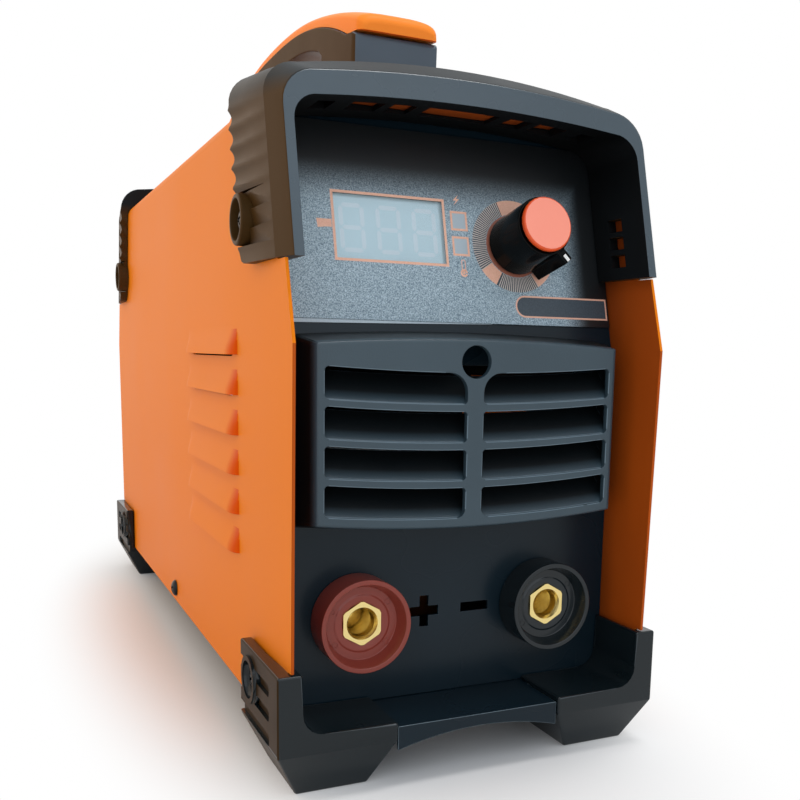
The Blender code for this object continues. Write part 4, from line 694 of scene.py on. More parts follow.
dress(clear_acrylic(), "display_window")
module_face = FILM_FACE - WINDOW_GAP - WINDOW_SHEET - WINDOW_GAP
fitted("display_block", eased(from_cad("display_module"), 0.0002),
       moulded("display_epoxy", "#E4F0F5", 0.4, "#DAEAF1"), "display_face",
       ["display_module"])
low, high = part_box("display_window")
half_height = (high.z - low.z) / 2 / cos(LEAN) - DIFFUSER
diffuser = slab(rectangle((high.x - low.x) / 2, half_height), 0, DIFFUSER,
                on_panel(window_x, WINDOW_UP, module_face))
fitted("display_diffuser", diffuser, moulded("milky_film", "#EDF9FB", 0.4, "#E6F5F7"),
       "display_face")
digits = [slab(bar, DIFFUSER, DIFFUSER + 0.00005, on_panel(window_x, WINDOW_UP, module_face))
          for column in (-1, 0, 1) for bar in segments(column * DIGIT_PITCH)]
fitted("display_digits", gathered(*digits), moulded("digit_resin", "#FFFFFF", 0.4, "#FAFDFF"),
       "display_face")
light_guide = moulded("milky_light_guide", "#A3B3BD", 0.3, "#AEBCC4", clearcoat=0.3)
for name, colour_slot in (("power_lamp", "lamp_green"), ("overheat_lamp", "lamp_amber")):
    fitted(name + "_guide", eased(from_cad(name), 0.0002), light_guide, colour_slot, [name])


# ---- current knob --------------------------------------------------------------------------
# A push-on ABS knob with a pointer fin, painted with one white stroke, and an orange cap
# pressed into its face. It turns on the potentiometer's shaft.
POINTER_TURN = -50          # degrees, negative below level

knob = eased(from_cad("current_knob"), 0.0004, 3)
gloss_black = moulded("gloss_black_abs", "#020303", 0.14, "#040505", sheen=0.08)
fitted("knob_body", knob, gloss_black, "knob_abs", ["current_knob"], "current_knob")
cap = eased(from_cad("knob_cap"), 0.0009, 5)
# Painted sheen: the cap's outward face is a paler salmon than the deeper orange of its rim; the two
# are lit and shaded copies of one orange.
cap_face_sheen = moulded("orange_cap_abs_painted_sheen", "#FA9A84", 0.38, "#F6917A", grain=0.0009, depth=0.00001)
button = fitted("knob_button", cap, cap_face_sheen, "knob_cap_abs", ["knob_cap"], "current_knob")
outwards = on_panel(0, 0).to_3x3() @ Vector((0, 0, 1))
painted(button, moulded("deep_orange_abs", "#E8561C", 0.3, "#E04E18"),
        lambda face: face.normal.dot(outwards) <= 0.93)
pointer = on_panel(DIAL_X, DIAL_UP, FILM_FACE) @ Matrix.Rotation(
    radians(POINTER_TURN), 4, "Z")
stroke = slab([(0.0117, -0.0006), (0.0117, 0.0006), (0.0142, 0.0006), (0.0142, -0.0006)],
              0.01895, 0.01903, pointer)
fitted("knob_stroke", stroke, screen_ink("white_ink", "#EDEDEA", "#E2E2DE"), "knob_abs", (),
       "current_knob")
fitted("shaft_nut", eased(from_cad("pot_nut"), 0.0002), zinc, "zinc_steel", ["pot_nut"])


# ---- front grille --------------------------------------------------------------------------
# A moulded ABS box that snaps over the air intake: two columns of four slots with slanting
# blades behind them, an arched upper and lower edge, and a round hole for the latch.
GRILLE_DRAFT = 0.0025
GRILLE_WALL = 0.0020
TOP_ARCH, BOTTOM_ARCH = 0.0019, 0.0030
SLOT_REACH = (0.0030, 0.0515)       # from the middle to a slot's two ends
SLOT_HEIGHT = 0.0098
SLOT_PITCH = 0.0121
SLOT_LOWEST = 0.0032
SLOT_SAG = 0.0030           # how far the lowest slot sags in the middle; higher ones sag less
BLADE_RUN, BLADE_SHEET = 0.0088, 0.0012
LATCH_HOLE = 0.0053
HAIR = 0.0001               # how near a point lies to a face that holds it


def lofted(rings):
    """Skin a run of closed rings, all with the same number of points, and cap its ends."""
    work = bmesh.new()
    loops = []
    for ring in rings:
        points = [work.verts.new(point) for point in ring]
        loops.append([work.edges.new(pair) for pair in zip(points, points[1:] + points[:1])])
    for near, far in zip(loops, loops[1:]):
        bmesh.ops.bridge_loops(work, edges=near + far)
    for end in (loops[0], loops[-1]):
        bmesh.ops.contextual_create(work, geom=end)
    bmesh.ops.recalc_face_normals(work, faces=work.faces)
    return work


def bowed(half, edge, rise, steps=12):
    """A shallow arch from one side to the other, `rise` above its ends."""
    shares = [1 - 2 * i / steps for i in range(steps + 1)]
    return [(half * s, edge + rise * (1 - s * s)) for s in shares]


def grille():
    low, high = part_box("front_grille")
    half = high.x - GRILLE_DRAFT
    top, bottom = high.z - GRILLE_DRAFT - TOP_ARCH, low.z + GRILLE_DRAFT + BOTTOM_ARCH

    def ring(y, grow):
        upper = bowed(half + grow, top + grow, TOP_ARCH)
        lower = bowed(half + grow, bottom - grow, -BOTTOM_ARCH)
        return [(x, y, z) for x, z in upper + lower[::-1]]

    def foremost(edges, measure=max):
        return [e for e in edges if measure(v.co.y for v in e.verts) < low.y + HAIR]

    shell = lofted([ring(high.y, GRILLE_DRAFT), ring(low.y, 0)])
    corners = [e for e in foremost(sharp(shell, 60), min) if e.calc_length() > 0.012]
    eased(shell, 0.0016, 5, corners)
    eased(shell, 0.0009, 4, foremost(sharp(shell, 50)))
    hollow = lofted([ring(high.y + 0.001, GRILLE_DRAFT - GRILLE_WALL),
                     ring(low.y + GRILLE_WALL, -GRILLE_WALL)])
    cutters, blades = [], []
    outwards = Matrix.Translation((0, low.y, 0)) @ OUTWARD
    for row in range(4):
        sill = bottom + SLOT_LOWEST + row * SLOT_PITCH
        drop = SLOT_SAG - 0.0003 * row
        near, far = SLOT_REACH
        under = [(x, sill - drop * (1 - (x / half) ** 2))
                 for x in [near + (far - near) * i / 6 for i in range(7)]]
        slot = under + [(x, z + SLOT_HEIGHT) for x, z in reversed(under)]
        rounding = [0.0028 if row == 0 else 0.0012, 0, 0, 0, 0, 0, 0.0014, 0.0014, 0, 0, 0, 0, 0,
                    0.0062 if row == 3 else 0.0012]
        for hand in (1, -1):
            cutters.append(slab([(hand * x, z) for x, z in slot], -GRILLE_WALL - 0.0003, 0.0003,
                                outwards, rounding))
        start = low.y + GRILLE_WALL / 2
        blade = [(start, sill - BLADE_SHEET),
                 (start + BLADE_RUN, sill + BLADE_RUN - BLADE_SHEET),
                 (start + BLADE_RUN, sill + BLADE_RUN), (start, sill)]
        reach = half - GRILLE_WALL / 2
        stations = [reach * (2 * i / 12 - 1) for i in range(13)]
        blades.append(eased(lofted([[(x, y, z - drop * (1 - (x / half) ** 2)) for y, z in blade]
                                    for x in stations]), 0.00025))
    hole = Matrix.Translation((0, 0, top + TOP_ARCH - 0.0071))
    cutters.append(rod(LATCH_HOLE, -0.003, 0.001, hole @ outwards, 40))
    work = carved(carved(shell, hollow), gathered(*cutters))
    eased(work, 0.0003, 2, foremost(sharp(work, 50)))
    return gathered(work, *blades)


def paint_light_and_shade_along(look, shade, axis, start, end):
    """Paint light and shade into a look: its colour runs into a second, painted shade along one
    axis of the piece.
    """
    shader = look.node_tree.nodes["Principled BSDF"]
    place = node(shader, "SeparateXYZ", {"Vector": node(shader, "TexCoord").outputs["Object"]})
    size = node(shader, "Math", {0: place.outputs[axis]}, operation="ABSOLUTE")
    depth = node(shader, "MapRange", {"Value": size}, From_Min=start, From_Max=end)
    run = node(shader, "Mix", {"Factor": depth}, data_type="RGBA")
    feed(run, {"A": shader.inputs["Base Color"].links[0].from_socket})
    run.inputs["B"].default_value = linear(shade)
    feed(shader, {"Base Color": run.outputs["Result"]})
    return look


grained_abs = moulded("grained_abs", "#364852", 0.36, "#2C3C45", grain=0.0006, depth=0.00012)
intake = -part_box("front_grille")[0].y
# Painted shade: the grille darkens from its face back into the slots and onto the blades behind.
paint_light_and_shade_along(grained_abs, "#0C1114", "Y", intake - 0.0014, intake - 0.0040)
intake_grille = fitted("intake_grille", grille(), grained_abs, "grille_abs", ["front_grille"])
# Painted highlight: the grille's rounded edges take a paler grey for the light they catch.
painted_edge_highlights(intake_grille, moulded("grille_edge_painted_highlight", "#5E727F", 0.3, "#53656F",
                                    grain=0.0006, sheen=0.5))


# ---- cover ---------------------------------------------------------------------------------
# One sheet of 1 mm steel folded over the machine, in orange powder paint. Six louvres are
# pressed out of each side: slit along the lower lip and drawn out into shallow scoops.
SHEET = 0.0010
COVER_BEND = 0.0050
EDGE_BEND_Z = 0.1400        # height of the foremost point of the cover's edge
EDGE_LOW_DEPTH = 0.0030
EDGE_TOP_SLOPE = 0.30
HOOD_BOTTOM = 0.1645
LOUVRE_LOWEST_Z = 0.0667
LOUVRE_PITCH = 0.0139
LOUVRE_HEIGHT = 0.0100
LOUVRE_RISE = 0.0027
LOUVRE_START = 0.0635
LOUVRE_LENGTH = 0.0825
LOUVRE_END = 0.0090         # length over which a scoop's two ends round off
LOUVRE_SLIT = 0.0006        # from a scoop's lip down to the wall's cut edge, at mid length
LOUVRE_REACH = 0.0028       # from the wall out to the cover's widest point


def even_steps(steps):
    """Shares from 0 to 1."""
    return [i / steps for i in range(steps + 1)]


def scoop(y, z, first):
    """How far the wall is pressed out at a place within a louvre."""
    up = max(0.0, min(1.0, z / LOUVRE_HEIGHT))
    along = max(0.0, min(1.0, min(y - first, first + LOUVRE_LENGTH - y) / LOUVRE_END))
    fade = 1 - up * up * (3 - 2 * up)
    return LOUVRE_RISE * fade * sqrt(1 - (1 - along) ** 2)


def folded_cover():
    low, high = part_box("cover")
    front, floor, roof = low.y, low.z, high.z
    half = high.x - LOUVRE_REACH
    notch, step = 0.0416, HOOD_BOTTOM - 0.0003
    share = (EDGE_BEND_Z - notch) / (EDGE_BEND_Z - floor)
    seat = front + 0.0146
    edge = [(front + 0.0055, floor), (front + 0.0055, notch),
            (front + EDGE_LOW_DEPTH * share, notch), (front, EDGE_BEND_Z),
            (front + EDGE_TOP_SLOPE * (step - EDGE_BEND_Z), step), (seat, step),
            (seat + tan(LEAN) * (roof - step), roof - COVER_BEND)]
    outline = edge + [(-y, z) for y, z in reversed(edge)]
    work = bmesh.new()
    work.faces.new([work.verts.new((half, y, z)) for y, z in outline])
    first = front + LOUVRE_START
    stations = [first + LOUVRE_END * s * s for s in even_steps(8)]
    stations += [2 * first + LOUVRE_LENGTH - y for y in stations]
    sills = [LOUVRE_LOWEST_Z + row * LOUVRE_PITCH for row in range(6)]
    cuts = [((0, y, 0), (0, 1, 0)) for y in stations]
    cuts += [((0, 0, sill + LOUVRE_HEIGHT * s), (0, 0, 1)) for sill in sills for s in even_steps(8)]
    for place, normal in cuts:
        bmesh.ops.bisect_plane(work, geom=work.verts[:] + work.edges[:] + work.faces[:],
                               plane_co=place, plane_no=normal, dist=0.0000001)
    for sill in sills:
        lips = [e for e in work.edges if all(abs(v.co.z - sill) < 0.00001 for v in e.verts)
                and first < sum(v.co.y for v in e.verts) / 2 < first + LOUVRE_LENGTH]
        bmesh.ops.split_edges(work, edges=lips)
    for v in work.verts:
        middle = sum(f.calc_center_median().z for f in v.link_faces) / len(v.link_faces)
        for sill in sills:
            within = sill - 0.00001 < v.co.z < sill + LOUVRE_HEIGHT
            if within and (v.co.z > sill + 0.00001 or middle > sill + 0.0001):
                v.co.x += scoop(v.co.y, v.co.z - sill, first)
            elif within and scoop(v.co.y, 0, first) > LOUVRE_RISE * 0.999:
                v.co.z -= LOUVRE_SLIT
    brink = [e for e in work.edges
             if all(abs(v.co.z - (roof - COVER_BEND)) < 0.00001 for v in e.verts)]
    geometry = brink + list({v for e in brink for v in e.verts})
    bend = bmesh.ops.spin(work, geom=geometry, cent=(half - COVER_BEND, 0, roof - COVER_BEND),
                          axis=(0, -1, 0), angle=pi / 2, steps=8)
    last = [e for e in bend["geom_last"] if isinstance(e, bmesh.types.BMEdge)]
    flat = bmesh.ops.extrude_edge_only(work, edges=last)
    for v in flat["geom"]:
        if isinstance(v, bmesh.types.BMVert):
            v.co.x = 0
    bmesh.ops.mirror(work, geom=work.verts[:] + work.edges[:] + work.faces[:], axis="X",
                     merge_dist=0.000001)
    bmesh.ops.recalc_face_normals(work, faces=work.faces)
    if max(work.faces, key=lambda f: f.calc_center_median().z).normal.z < 0:
        bmesh.ops.reverse_faces(work, faces=work.faces)
    bmesh.ops.solidify(work, geom=work.faces[:], thickness=SHEET)
    bmesh.ops.recalc_face_normals(work, faces=work.faces)
    return eased(work, 0.0002, 2, sharp(work, 60))


def inner_side(face):
    steep = abs(face.normal.x) > 0.7
    return (face.normal.x * face.center.x if steep else face.normal.z) < -0.001


ORANGE = ("#E57C10", "#E88018", 0.42, 0.04)
shell = fitted("folded_cover", folded_cover(), powder_paint("orange_powder_paint", *ORANGE),
               "cover_paint", ["cover"])
# Painted shade: the cover's inside is darker than its outside and runs to near black deeper in, for
# the shade inside the case.
inside = powder_paint("inside_paint_painted_shade", "#BC5410", "#A44811", 0.6, 0.1)
ends = -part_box("cover")[0].y
painted(shell, paint_light_and_shade_along(inside, "#1B1614", "Y", ends - 0.020, ends - 0.050), inner_side)
# Painted shade: the pressed louvre faces darken towards their front ends, which turn away from the
# light.
louvre_end_shade = powder_paint("louvre_end_painted_shade", *ORANGE)
tip, wall = ends - LOUVRE_START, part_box("cover")[1].x - LOUVRE_REACH
painted(shell, paint_light_and_shade_along(louvre_end_shade, "#D65002", "Y", tip - 0.0092, tip - 0.0024),
        lambda face: abs(face.center.x) > wall + HAIR)


# ---- carrying handle -----------------------------------------------------------------------
# A slate ABS bow on two posts, held from inside the cover, with a glossy orange cap along its
# top. The joint between them dips at each end before it reaches the post's outer face.
HANDLE_DEPTH = 0.0815
HANDLE_POST = 0.0350
HANDLE_FLARE = 0.0015
HANDLE_SPLIT = 0.0544
HANDLE_DROP = 0.0170
HANDLE_SHOULDER = 0.0091
SHOULDER_DROP = 0.0015
GRIP_THICKNESS = 0.0087
GRIP_DROP = 0.0084
CAP_HEIGHT = 0.0059
CAP_DROP = 0.0184
CAP_OVERHANG = 0.0020
CAP_NOSE = 0.0034           # rounding of the crown into its two ends
SPLIT_CURVE, GRIP_CURVE, CAP_CURVE = 2.6, 3.3, 2.1      # powers of the three arches
SIDEWAYS = Matrix(((0, 0, 1, 0), (1, 0, 0, 0), (0, 1, 0, 0), (0, 0, 0, 1)))


def arched(half_span, top, drop, power, steps=40):
    shares = [2 * s - 1 for s in even_steps(steps)]
    return [(half_span * s, top - drop * abs(s) ** power) for s in shares]


def painted_warm_flanks(piece, look):
    """Painted reflection: the two sides take a warmer, duller black, for the warm light that falls
    on them.
    """
    painted(piece, look, lambda face: face.normal.x * copysign(1, face.center.x) > 0.7)


def handle():
    low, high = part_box("handle_body")
    reach = -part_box("cover")[0].y - HANDLE_DEPTH
    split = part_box("cover")[1].z + HANDLE_SPLIT
    shoulder, inner = reach - HANDLE_SHOULDER, reach - HANDLE_POST

    def joint(end, top):
        ledge = top - HANDLE_DROP - SHOULDER_DROP
        return [(-end, ledge)] + arched(shoulder, top, HANDLE_DROP, SPLIT_CURVE) + [(end, ledge)]

    grip = arched(inner, split - GRIP_THICKNESS, GRIP_DROP, GRIP_CURVE, 28)
    outline = [(-reach, low.z)] + joint(reach + HANDLE_FLARE, split)
    outline += [(reach, low.z), (inner, low.z)] + grip[::-1] + [(-inner, low.z)]
    body = slab(outline, low.x + 0.0005, high.x - 0.0005, SIDEWAYS)
    posts = [e for e in body.edges if e.calc_length() > 0.03
             and min(abs(v.co.y) for v in e.verts) > reach - HAIR]
    eased(body, 0.0026, 2, posts)
    edges = [e for e in sharp(body, 55) if min(v.co.z for v in e.verts) > low.z + 0.001]
    eased(body, 0.0007, 3, edges)
    low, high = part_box("handle_cap")
    end, half = reach + HANDLE_FLARE + CAP_OVERHANG, (high.x - low.x) / 2 - 0.0006
    top, rings = split + 0.0003, []
    shares = [sin(s * pi / 2) for s in even_steps(28)]
    for share in [-s for s in shares[:0:-1]] + shares:
        y = end * share
        if abs(y) < shoulder:
            base = top - HANDLE_DROP * abs(y / shoulder) ** SPLIT_CURVE
        else:
            base = top - HANDLE_DROP - SHOULDER_DROP * (abs(y) - shoulder) / (end - shoulder)
        tip = max(0.0, abs(y) - end + CAP_NOSE) / CAP_NOSE
        nose = 1 - sqrt(max(0.0, 1 - tip * tip))
        crest = top + CAP_HEIGHT - CAP_DROP * abs(share) ** CAP_CURVE
        crest -= CAP_NOSE * nose
        height = min(0.0052, crest - base - 0.0006)
        wide = half - CAP_NOSE * 0.8 * nose
        arc = [i * pi / 18 for i in range(19)]
        rings.append([(wide, y, base)]
                     + [(wide * copysign(abs(cos(t)) ** 0.6, cos(t)), y,
                         crest - height + height * sin(t) ** 0.6) for t in arc]
                     + [(-wide, y, base)])
    return body, lofted(rings)


handle_bow, handle_strip = handle()
slate_abs = moulded("slate_abs", "#54626E", 0.36, "#4C5862", grain=0.0006, sheen=0.2)
bow = fitted("handle_bow", handle_bow, slate_abs, "handle_abs", ["handle_body"])
# Painted warm reflection on the bow's sides.
painted_warm_flanks(bow, moulded("slate_abs_painted_warm_reflection", "#4C3920", 0.4, "#40301B", grain=0.0006,
                              sheen=0.02))
glossy_orange = moulded("glossy_orange_abs", "#FF8E34", 0.32, "#FF9038", grain=0.0012,
                        depth=0.00001, sheen=0.02)
fitted("handle_strip", handle_strip, glossy_orange, "handle_cap_abs", ["handle_cap"])


# ---- hoods ---------------------------------------------------------------------------------
# Two deep collars of grained black ABS, pushed over the ends of the cover and held by a screw
# in a round boss on each side. Both lean back with the panels. Their sides are fluted, from a
# plain band near the face to a scalloped rear edge, and their sleeves are pierced by windows.
HOOD_FACE = 0.0031          # from the cover's foremost edge back to the hood's face
HOOD_HALF = 0.0634
HOOD_TOP, HOOD_CREST = 0.2190, 0.2223
HOOD_CORNER = 0.0110
HOOD_BAND = 0.0096
HOOD_FLARE, HOOD_RISE, HOOD_SPREAD = 0.0028, 0.0042, 0.0029
HOOD_CROWN = 0.0017         # extra rise of the crest behind the face
HOOD_LENGTH = 0.0405
HOOD_SEAT = 0.0115
HOOD_HEEL = 0.0050          # rounding of its lower rear corners
OPENING_HALF = 0.0603
OPENING_CORNER = 0.0080
FLUTE = 0.0063
RIDGE, GROOVE, SCALLOP = 0.0008, 0.0005, 0.0009
SLIDE = 0.0003              # clearance round the cover's edge
BOSS_RADIUS = 0.0080
BOSS_WALL = 0.0017
WINDOW_HEIGHT, WINDOW_PITCH = 0.0043, 0.0062        # windows in the sides
CEILING_WINDOWS = ((0.0470, 0.0028), (0.0330, 0.0052), (0.0207, 0.0040), (0, 0.0125))


def collar_ring(back, inset=0.0, relief=0.0):
    """One ring round the hood: `back` behind its face, pulled in by `inset` and fluted."""
    part = min(1.0, back / HOOD_BAND)
    rest = max(0.0, (back - HOOD_BAND) / (HOOD_LENGTH - HOOD_BAND))
    half = HOOD_HALF + HOOD_FLARE * part + HOOD_SPREAD * rest - inset
    rise = HOOD_RISE * part + HOOD_SPREAD * rest - inset
    top, round_off = HOOD_TOP + rise, HOOD_CORNER
    crest = HOOD_CREST + rise + HOOD_CROWN * part * (1 - rest)
    knee = top - round_off
    points = []
    for s in even_steps(64):
        z = HOOD_BOTTOM + (knee - HOOD_BOTTOM) * s
        wave = (z - HOOD_BOTTOM + 0.0012) / FLUTE % 1
        cut = 1 - (2 * wave - 1) ** 2
        fade = min(1.0, (knee + 0.001 - z) / 0.004, (z - HOOD_BOTTOM) / 0.009)
        bulge = relief * fade * (RIDGE - (RIDGE + GROOVE) * cut)
        heel = max(0.0, HOOD_HEEL - (z - HOOD_BOTTOM))
        trim = HOOD_HEEL - sqrt(max(0.0, HOOD_HEEL ** 2 - heel ** 2))
        points.append((half + bulge, back - rest * (trim + SCALLOP * cut * fade), z))
    for s in even_steps(8)[1:]:
        turn = s * pi / 2
        points.append((half - round_off * (1 - cos(turn)), back,
                       knee + round_off * sin(turn)))
    middle = half - round_off
    for s in even_steps(10)[1:]:
        points.append((middle * (1 - s), back, top + (crest - top) * (1 - (1 - s) ** 2)))
    return points + [(-x, y, z) for x, y, z in points[-2::-1]]


def leaned(work, face):
    """Set a shape that was drawn upright into its place, leaning back from its lower edge."""
    lean = Matrix.Identity(4)
    lean[1][2] = tan(LEAN)
    lean[1][3] = face - tan(LEAN) * HOOD_BOTTOM
    bmesh.ops.transform(work, matrix=lean, verts=work.verts)
    return work


def arch(half, corner, top, crest, below=0.1):
    """An upright arch, open far below the hood."""
    right = [(half, HOOD_BOTTOM - below)]
    for s in even_steps(8):
        turn = s * pi / 2
        right.append((half - corner * (1 - cos(turn)), top - corner * (1 - sin(turn))))
    for s in even_steps(10)[1:]:
        right.append(((half - corner) * (1 - s), top + (crest - top) * (1 - (1 - s) ** 2)))
    return right + [(-x, z) for x, z in right[-2::-1]]


def crossways(half, low, high, start, end):
    """A block across the hood, from one depth behind its face to another."""
    points = [(-half, low), (half, low), (half, high), (-half, high)]
    return slab(points, -end, -start, OUTWARD)


def hood():
    cover_low, cover_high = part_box("cover")
    face = cover_low.y + HOOD_FACE
    side, roof = cover_high.x - LOUVRE_REACH, cover_high.z
    band, end = HOOD_BAND, HOOD_LENGTH
    work = lofted([collar_ring(*station) for station in (
        (0, 0.0005), (0.00015, 0.00015), (0.0005,), (band * 0.5,), (band,),
        (band + 0.0001, 0.0004), (band + 0.0010, 0.0004, 0.1), (0.0150, 0.0002, 0.4),
        (0.0220, 0, 0.7), (0.0300, 0, 0.9), (end - 0.0011, 0, 1), (end - 0.0005, 0, 1),
        (end - 0.0001, 0.0003, 1), (end, 0.0010, 1), (end, 0.0050, 0))])
    boss, reach = middle_of("hood_screw_front_right"), side + 0.0055
    sill, step = boss.z - BOSS_RADIUS - 0.0004, (2 * BOSS_RADIUS + 0.0010) / 3
    steps = [(0.1, sill), (side + 0.0013, sill)]
    for i in range(3):
        steps += [(side + 0.0026, sill + step * (i + 0.9)), (side + 0.0013, sill + step * (i + 1))]
    steps += [(0.1, sill + 3 * step)]
    pocket = slab(steps, -0.1, -band - 0.0004, OUTWARD)
    pockets = gathered(pocket.copy(), pocket)
    half_turn = pockets.verts[len(pockets.verts) // 2:]
    bmesh.ops.rotate(pockets, verts=half_turn, cent=(0, 0.0548, sill + 1.5 * step),
                     matrix=Matrix.Rotation(pi, 3, "Z"))
    work = leaned(carved(work, pockets), face)
    axes = [Matrix.Translation((0, boss.y, boss.z)) @ Matrix.Rotation(turn, 4, "Y")
            for turn in (pi / 2, -pi / 2)]
    bosses = [turned([(0, 0.0600), (BOSS_RADIUS, 0.0600), (BOSS_RADIUS, reach - 0.0006),
                      (BOSS_RADIUS - 0.0002, reach - 0.0002), (BOSS_RADIUS - 0.0006, reach),
                      (0, reach)], axis) for axis in axes]
    work = carved(work, gathered(*bosses), "UNION")
    crest = HOOD_CREST - 0.0079
    film_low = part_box("control_overlay")[0]
    sleeve = film_low.y - 0.0006 - face + (HOOD_BOTTOM - film_low.z) * tan(LEAN)
    inner, room_top = side - SHEET - SLIDE, roof - SHEET - SLIDE
    opening = slab(arch(OPENING_HALF, OPENING_CORNER, crest - 0.0028, crest), -sleeve - SLIDE,
                   0.02, OUTWARD)
    behind = slab(arch(inner + 0.0008, COVER_BEND, room_top + 0.0008, room_top + 0.0009),
                  -0.12, -sleeve, OUTWARD)
    outer_wall = slab(arch(side + SLIDE, COVER_BEND, roof + SLIDE, roof + SLIDE + HAIR), -0.11,
                      -HOOD_SEAT + SLIDE, OUTWARD)
    inner_wall = slab(arch(inner, COVER_BEND - SHEET, room_top, room_top + HAIR, 0.12), -0.13,
                      -HOOD_SEAT + 0.0010, OUTWARD)
    slot = carved(outer_wall, inner_wall)
    windows = [crossways(inner + SLIDE, low, low + WINDOW_HEIGHT, 0.0124, 0.0204)
               for low in [HOOD_BOTTOM + WINDOW_HEIGHT + WINDOW_PITCH * i for i in range(3)]]
    top = roof - SHEET
    for middle, half in CEILING_WINDOWS:
        for hand in (1, -1) if middle else (1,):
            window = crossways(half, top - 0.0046, top, 0.0080, 0.0188)
            bmesh.ops.translate(window, verts=window.verts, vec=(hand * middle, 0, 0))
            windows.append(window)
    for tool in (opening, behind, slot, gathered(*windows)):
        work = carved(work, leaned(tool, face))
    recess = BOSS_RADIUS - BOSS_WALL
    wells = [turned([(0, 0.0500), (0.0023, 0.0500), (0.0023, side + 0.0021),
                     (recess, side + 0.0021), (recess, reach - 0.0005),
                     (recess + 0.0004, reach + 0.0001), (recess + 0.0004, 0.1), (0, 0.1)], axis)
             for axis in axes]
    work = carved(work, gathered(*wells))
    lean_normal = Vector((0, 1, -tan(LEAN))).normalized()
    origin = Vector((0, face, HOOD_BOTTOM))
    rims = [e for e in sharp(work, 45)
            if all(abs((v.co - origin).dot(lean_normal)) < 0.00003
                   and abs(v.co.x) < OPENING_HALF + HAIR and v.co.z < crest + HAIR
                   for v in e.verts)]
    return eased(work, 0.0007, 3, rims)


hood_abs = moulded("hood_abs", "#1E262A", 0.4, "#1A2023", grain=0.0005, depth=0.00006,
                   sheen=0.06)
# Painted warm reflection: below its top the hood runs to brown, for warm light from the side.
paint_light_and_shade_along(hood_abs, "#432F16", "Z", HOOD_TOP - 0.0015, HOOD_TOP - 0.0075)
# The rim's face is glossier, and its lighter slate is a painted reflection of the sky on the black
# ABS.
hood_rim_reflection = moulded("polished_hood_abs_painted_reflection", "#3B4B55", 0.26, "#33414A", depth=0.00001, sheen=0.45)
front_shape = hood()
rear_shape = front_shape.copy()
bmesh.ops.rotate(rear_shape, verts=rear_shape.verts, cent=(0, 0, 0),
                 matrix=Matrix.Rotation(pi, 3, "Z"))
# Painted shade: the inner faces of the opening, the sleeve and its windows take a near-black.
hood_inside_shade = moulded("hood_inside_painted_shade", "#0B0D0F", 0.5, "#0E1113", grain=0.0005, sheen=0.15)
hood_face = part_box("cover")[0].y + HOOD_FACE


def in_opening(face):
    across, up = abs(face.center.x), face.center.z
    outwards = Vector((face.center.x, 0, up - HOOD_TOP + 0.03))
    if across > OPENING_HALF and face.normal.dot(outwards) > 0:
        return False
    return across < HOOD_HALF - 0.0004 and up < HOOD_TOP - 0.002


def on_rim(face):
    level = hood_face + (face.center.z - HOOD_BOTTOM) * tan(LEAN)
    return abs(abs(face.center.y) + level) < 0.0003


for name, shape in (("front", front_shape), ("rear", rear_shape)):
    collar = fitted(name + "_collar", shape, hood_abs, "hood_abs", [name + "_hood"], crease=40)
    painted(collar, hood_inside_shade, in_opening)
    painted(collar, hood_rim_reflection, on_rim)


# ---- feet ----------------------------------------------------------------------------------
# Four corner feet of the same ABS, each an L with a chamfered underside that grips the cover's
# lower corner. Three pockets in the outer side leave ribs with blunt rear ends.
POCKET_DEPTH = 0.0011
POCKET_HEIGHT = 0.0040
POCKET_PITCH = 0.0080


def foot():
    low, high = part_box("foot_front_right")
    work = from_cad("foot_front_right")
    long_edges = [e for e in sharp(work, 25) if e.calc_length() > 0.0035]
    bmesh.ops.bevel(work, geom=long_edges, offset=0.0008, offset_type="OFFSET",
                    affect="EDGES", segments=3, profile=0.5, material=-1)
    outer = high.x - 0.0013
    pockets = []
    for row in range(3):
        z = high.z - 0.0052 - row * POCKET_PITCH
        start, end = low.y + 0.0095, high.y + 0.002
        points = [(start, z - POCKET_HEIGHT), (end, z - POCKET_HEIGHT), (end, z), (start, z)]
        pockets.append(slab(points, outer - POCKET_DEPTH, outer + 0.001, SIDEWAYS,
                            [0.0014, 0, 0, 0.0014]))
    screw = middle_of("foot_screw_front_right")
    axis = Matrix.Translation((0, screw.y, screw.z)) @ Matrix.Rotation(pi / 2, 4, "Y")
    keep = rod(BOSS_RADIUS + 0.0004, outer - 0.003, outer + 0.01, axis)
    return carved(work, carved(gathered(*pockets), keep))


foot_abs = moulded("foot_abs", "#0F181C", 0.24, "#131C20", grain=0.0005, clearcoat=0.3,
                   sheen=0.15)
# Painted warm reflection on the feet's sides.
foot_flank_warm_reflection = moulded("foot_abs_painted_warm_reflection", "#3A2A16", 0.34, "#2E2112", grain=0.0005, sheen=0.03)
# Painted highlight: the feet's rounded edges take a paler grey for the light they catch.
foot_edge_highlight = moulded("foot_edge_painted_highlight", "#2E383E", 0.3, "#283136", sheen=0.4)
for end, y in (("front", 1), ("rear", -1)):
    for hand, x in (("right", 1), ("left", -1)):
        work = foot()
        bmesh.ops.transform(work, matrix=Matrix.Diagonal((x, y, 1, 1)), verts=work.verts)
        bmesh.ops.recalc_face_normals(work, faces=work.faces)
        name = f"foot_{end}_{hand}"
        corner = fitted("corner_" + name, work, foot_abs, "foot_abs", [name])
        painted_warm_flanks(corner, foot_flank_warm_reflection)
        painted_edge_highlights(corner, foot_edge_highlight)


